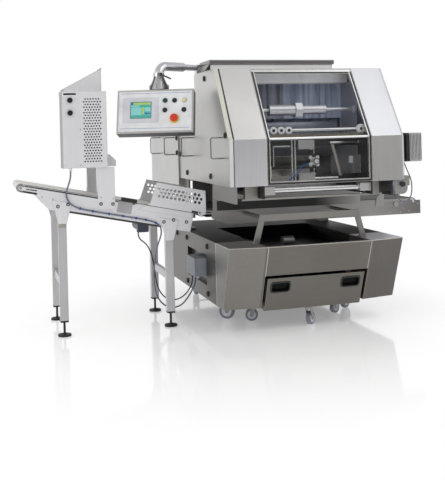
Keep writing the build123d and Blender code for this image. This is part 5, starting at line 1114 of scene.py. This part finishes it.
def make_junction_details():
    left = (BOX_LOW.x - CORNER.x) / MM
    front, rear = (BOX_LOW.y - CORNER.y) / MM, (BOX_HIGH.y - CORNER.y) / MM
    low, high = BOX_BOTTOM, BOX_HIGH.z / MM
    bm = bmesh.new()
    matrix = facing((left, (front + rear) / 2, (low + high) / 2), LEFT)
    outline = rounded(rear - front + LID_EDGE / 2, high - low + LID_EDGE / 2, LID_EDGE)
    add_slab(bm, matrix, outline, LID_THICK, LID_BEVEL)
    for y in (front + 2 * LID_EDGE, rear - 2 * LID_EDGE):
        for z in (low + 2 * LID_EDGE, high - 2 * LID_EDGE):
            add_lathe(bm, facing((left - LID_THICK, y, z), LEFT), SCREW_HEAD, SCREW_SIDES)
    make_piece("junction_lid", bm, "machine", box_grey)
    bm = bmesh.new()
    for place in GLANDS:
        add_lathe(bm, facing(place, DOWN), GLAND_NUT, HEX)
    make_piece("gland_nuts", bm, "machine", gland_white)


make_junction_details()

# Stage
FLOOR_REACH = 60
FLOOR_MIDDLE = (0.35, -0.35, 0)
FLOOR_NEAR = 1.5
FLOOR_FAR = 2.9
FLOOR_COLOUR = (0.90, 0.90, 0.90, 1)
FLOOR_GLOW = 0.26


def make_floor():
    """White floor that keeps the shadow and the mirror image near the object."""
    mesh = bpy.data.meshes.new("floor")
    reach = FLOOR_REACH
    corners = [(-reach, -reach, 0), (reach, -reach, 0), (reach, reach, 0), (-reach, reach, 0)]
    mesh.from_pydata(corners, [], [(0, 1, 2, 3)])
    floor = bpy.data.objects.new("floor", mesh)
    bpy.context.collection.objects.link(floor)
    material, tree, shader = new_material("floor")
    shader.inputs["Base Color"].default_value = FLOOR_COLOUR
    shader.inputs["Emission Color"].default_value = (1, 1, 1, 1)
    shader.inputs["Emission Strength"].default_value = FLOOR_GLOW
    cloud = noise(tree, place_coordinates(tree), 1.5)
    tree.links.new(spread(tree, cloud, 0.06, 0.10), shader.inputs["Roughness"])
    glow = tree.nodes.new("ShaderNodeEmission")
    away = vector_maths(tree, "DISTANCE", place_coordinates(tree), FLOOR_MIDDLE)
    blend = tree.nodes.new("ShaderNodeMixShader")
    tree.links.new(spread(tree, away["Value"], 0.0, 1.0, FLOOR_NEAR, FLOOR_FAR), blend.inputs["Fac"])
    tree.links.new(shader.outputs["BSDF"], blend.inputs[1])
    tree.links.new(glow.outputs["Emission"], blend.inputs[2])
    tree.links.new(blend.outputs["Shader"], tree.nodes["Material Output"].inputs["Surface"])
    mesh.materials.append(material)


DOME_STRENGTH = 0.72
OVERHEAD = 0.72


def make_world():
    """White dome: plain for the camera, in metal and through the pane, softer as a light."""
    world = bpy.data.worlds.new("dome")
    bpy.context.scene.world = world
    world.use_nodes = True
    tree = world.node_tree
    background = tree.nodes["Background"]
    background.inputs["Color"].default_value = (1, 1, 1, 1)
    background.inputs["Strength"].default_value = DOME_STRENGTH
    backdrop = tree.nodes.new("ShaderNodeBackground")
    backdrop.inputs["Color"].default_value = (1, 1, 1, 1)
    path = tree.nodes.new("ShaderNodeLightPath")
    seen = calculate(tree, "MAXIMUM", path.outputs["Is Camera Ray"], path.outputs["Is Glossy Ray"])
    seen = calculate(tree, "MAXIMUM", seen, path.outputs["Is Transmission Ray"])
    direction = tree.nodes.new("ShaderNodeTexCoord")
    overhead = spread(tree, axes_of(tree, direction.outputs["Generated"])["Z"], 1.0, OVERHEAD, 0.15, 0.7)
    strength = mix(tree, "FLOAT", path.outputs["Is Glossy Ray"], 1.0, overhead)
    tree.links.new(strength, backdrop.inputs["Strength"])
    blend = tree.nodes.new("ShaderNodeMixShader")
    tree.links.new(seen, blend.inputs["Fac"])
    tree.links.new(background.outputs["Background"], blend.inputs[1])
    tree.links.new(backdrop.outputs["Background"], blend.inputs[2])
    tree.links.new(blend.outputs["Shader"], tree.nodes["World Output"].inputs["Surface"])


CARD_CORNERS = [(-9, -9, 0), (9, -9, 0), (9, -9, 4.5), (-9, -9, 4.5)]
CARD_GREY = 0.30
# Name, place, what it points at, size and power
LAMPS = (
    ("key", (3.2, -4.4, 5.6), (0.3, 0, 1.2), (5, 4), 60),
    ("fill", (-6.0, -3.0, 3.5), (0, 0, 1.0), (4, 3), 40),
)


def make_lamp(name, place, target, size, power):
    data = bpy.data.lights.new(name, "AREA")
    data.shape = "RECTANGLE"
    data.size, data.size_y = size
    data.energy = power
    lamp = bpy.data.objects.new(name, data)
    bpy.context.collection.objects.link(lamp)
    lamp.location = place
    lamp.rotation_mode = "QUATERNION"
    lamp.rotation_quaternion = (Vector(target) - Vector(place)).to_track_quat("-Z", "Y")


def make_card(name, corners, grey):
    """Grey studio card that metal reflects, out of the camera's sight."""
    mesh = bpy.data.meshes.new(name)
    mesh.from_pydata(corners, [], [(0, 1, 2, 3)])
    card = bpy.data.objects.new(name, mesh)
    bpy.context.collection.objects.link(card)
    mesh.materials.append(moulded(name, (grey, grey, grey), 0.8))
    card.visible_camera = False
    card.visible_shadow = False


make_floor()
make_world()
make_card("front_card", CARD_CORNERS, CARD_GREY)
for lamp_values in LAMPS:
    make_lamp(*lamp_values)
bpy.context.scene.view_settings.view_transform = "Standard"
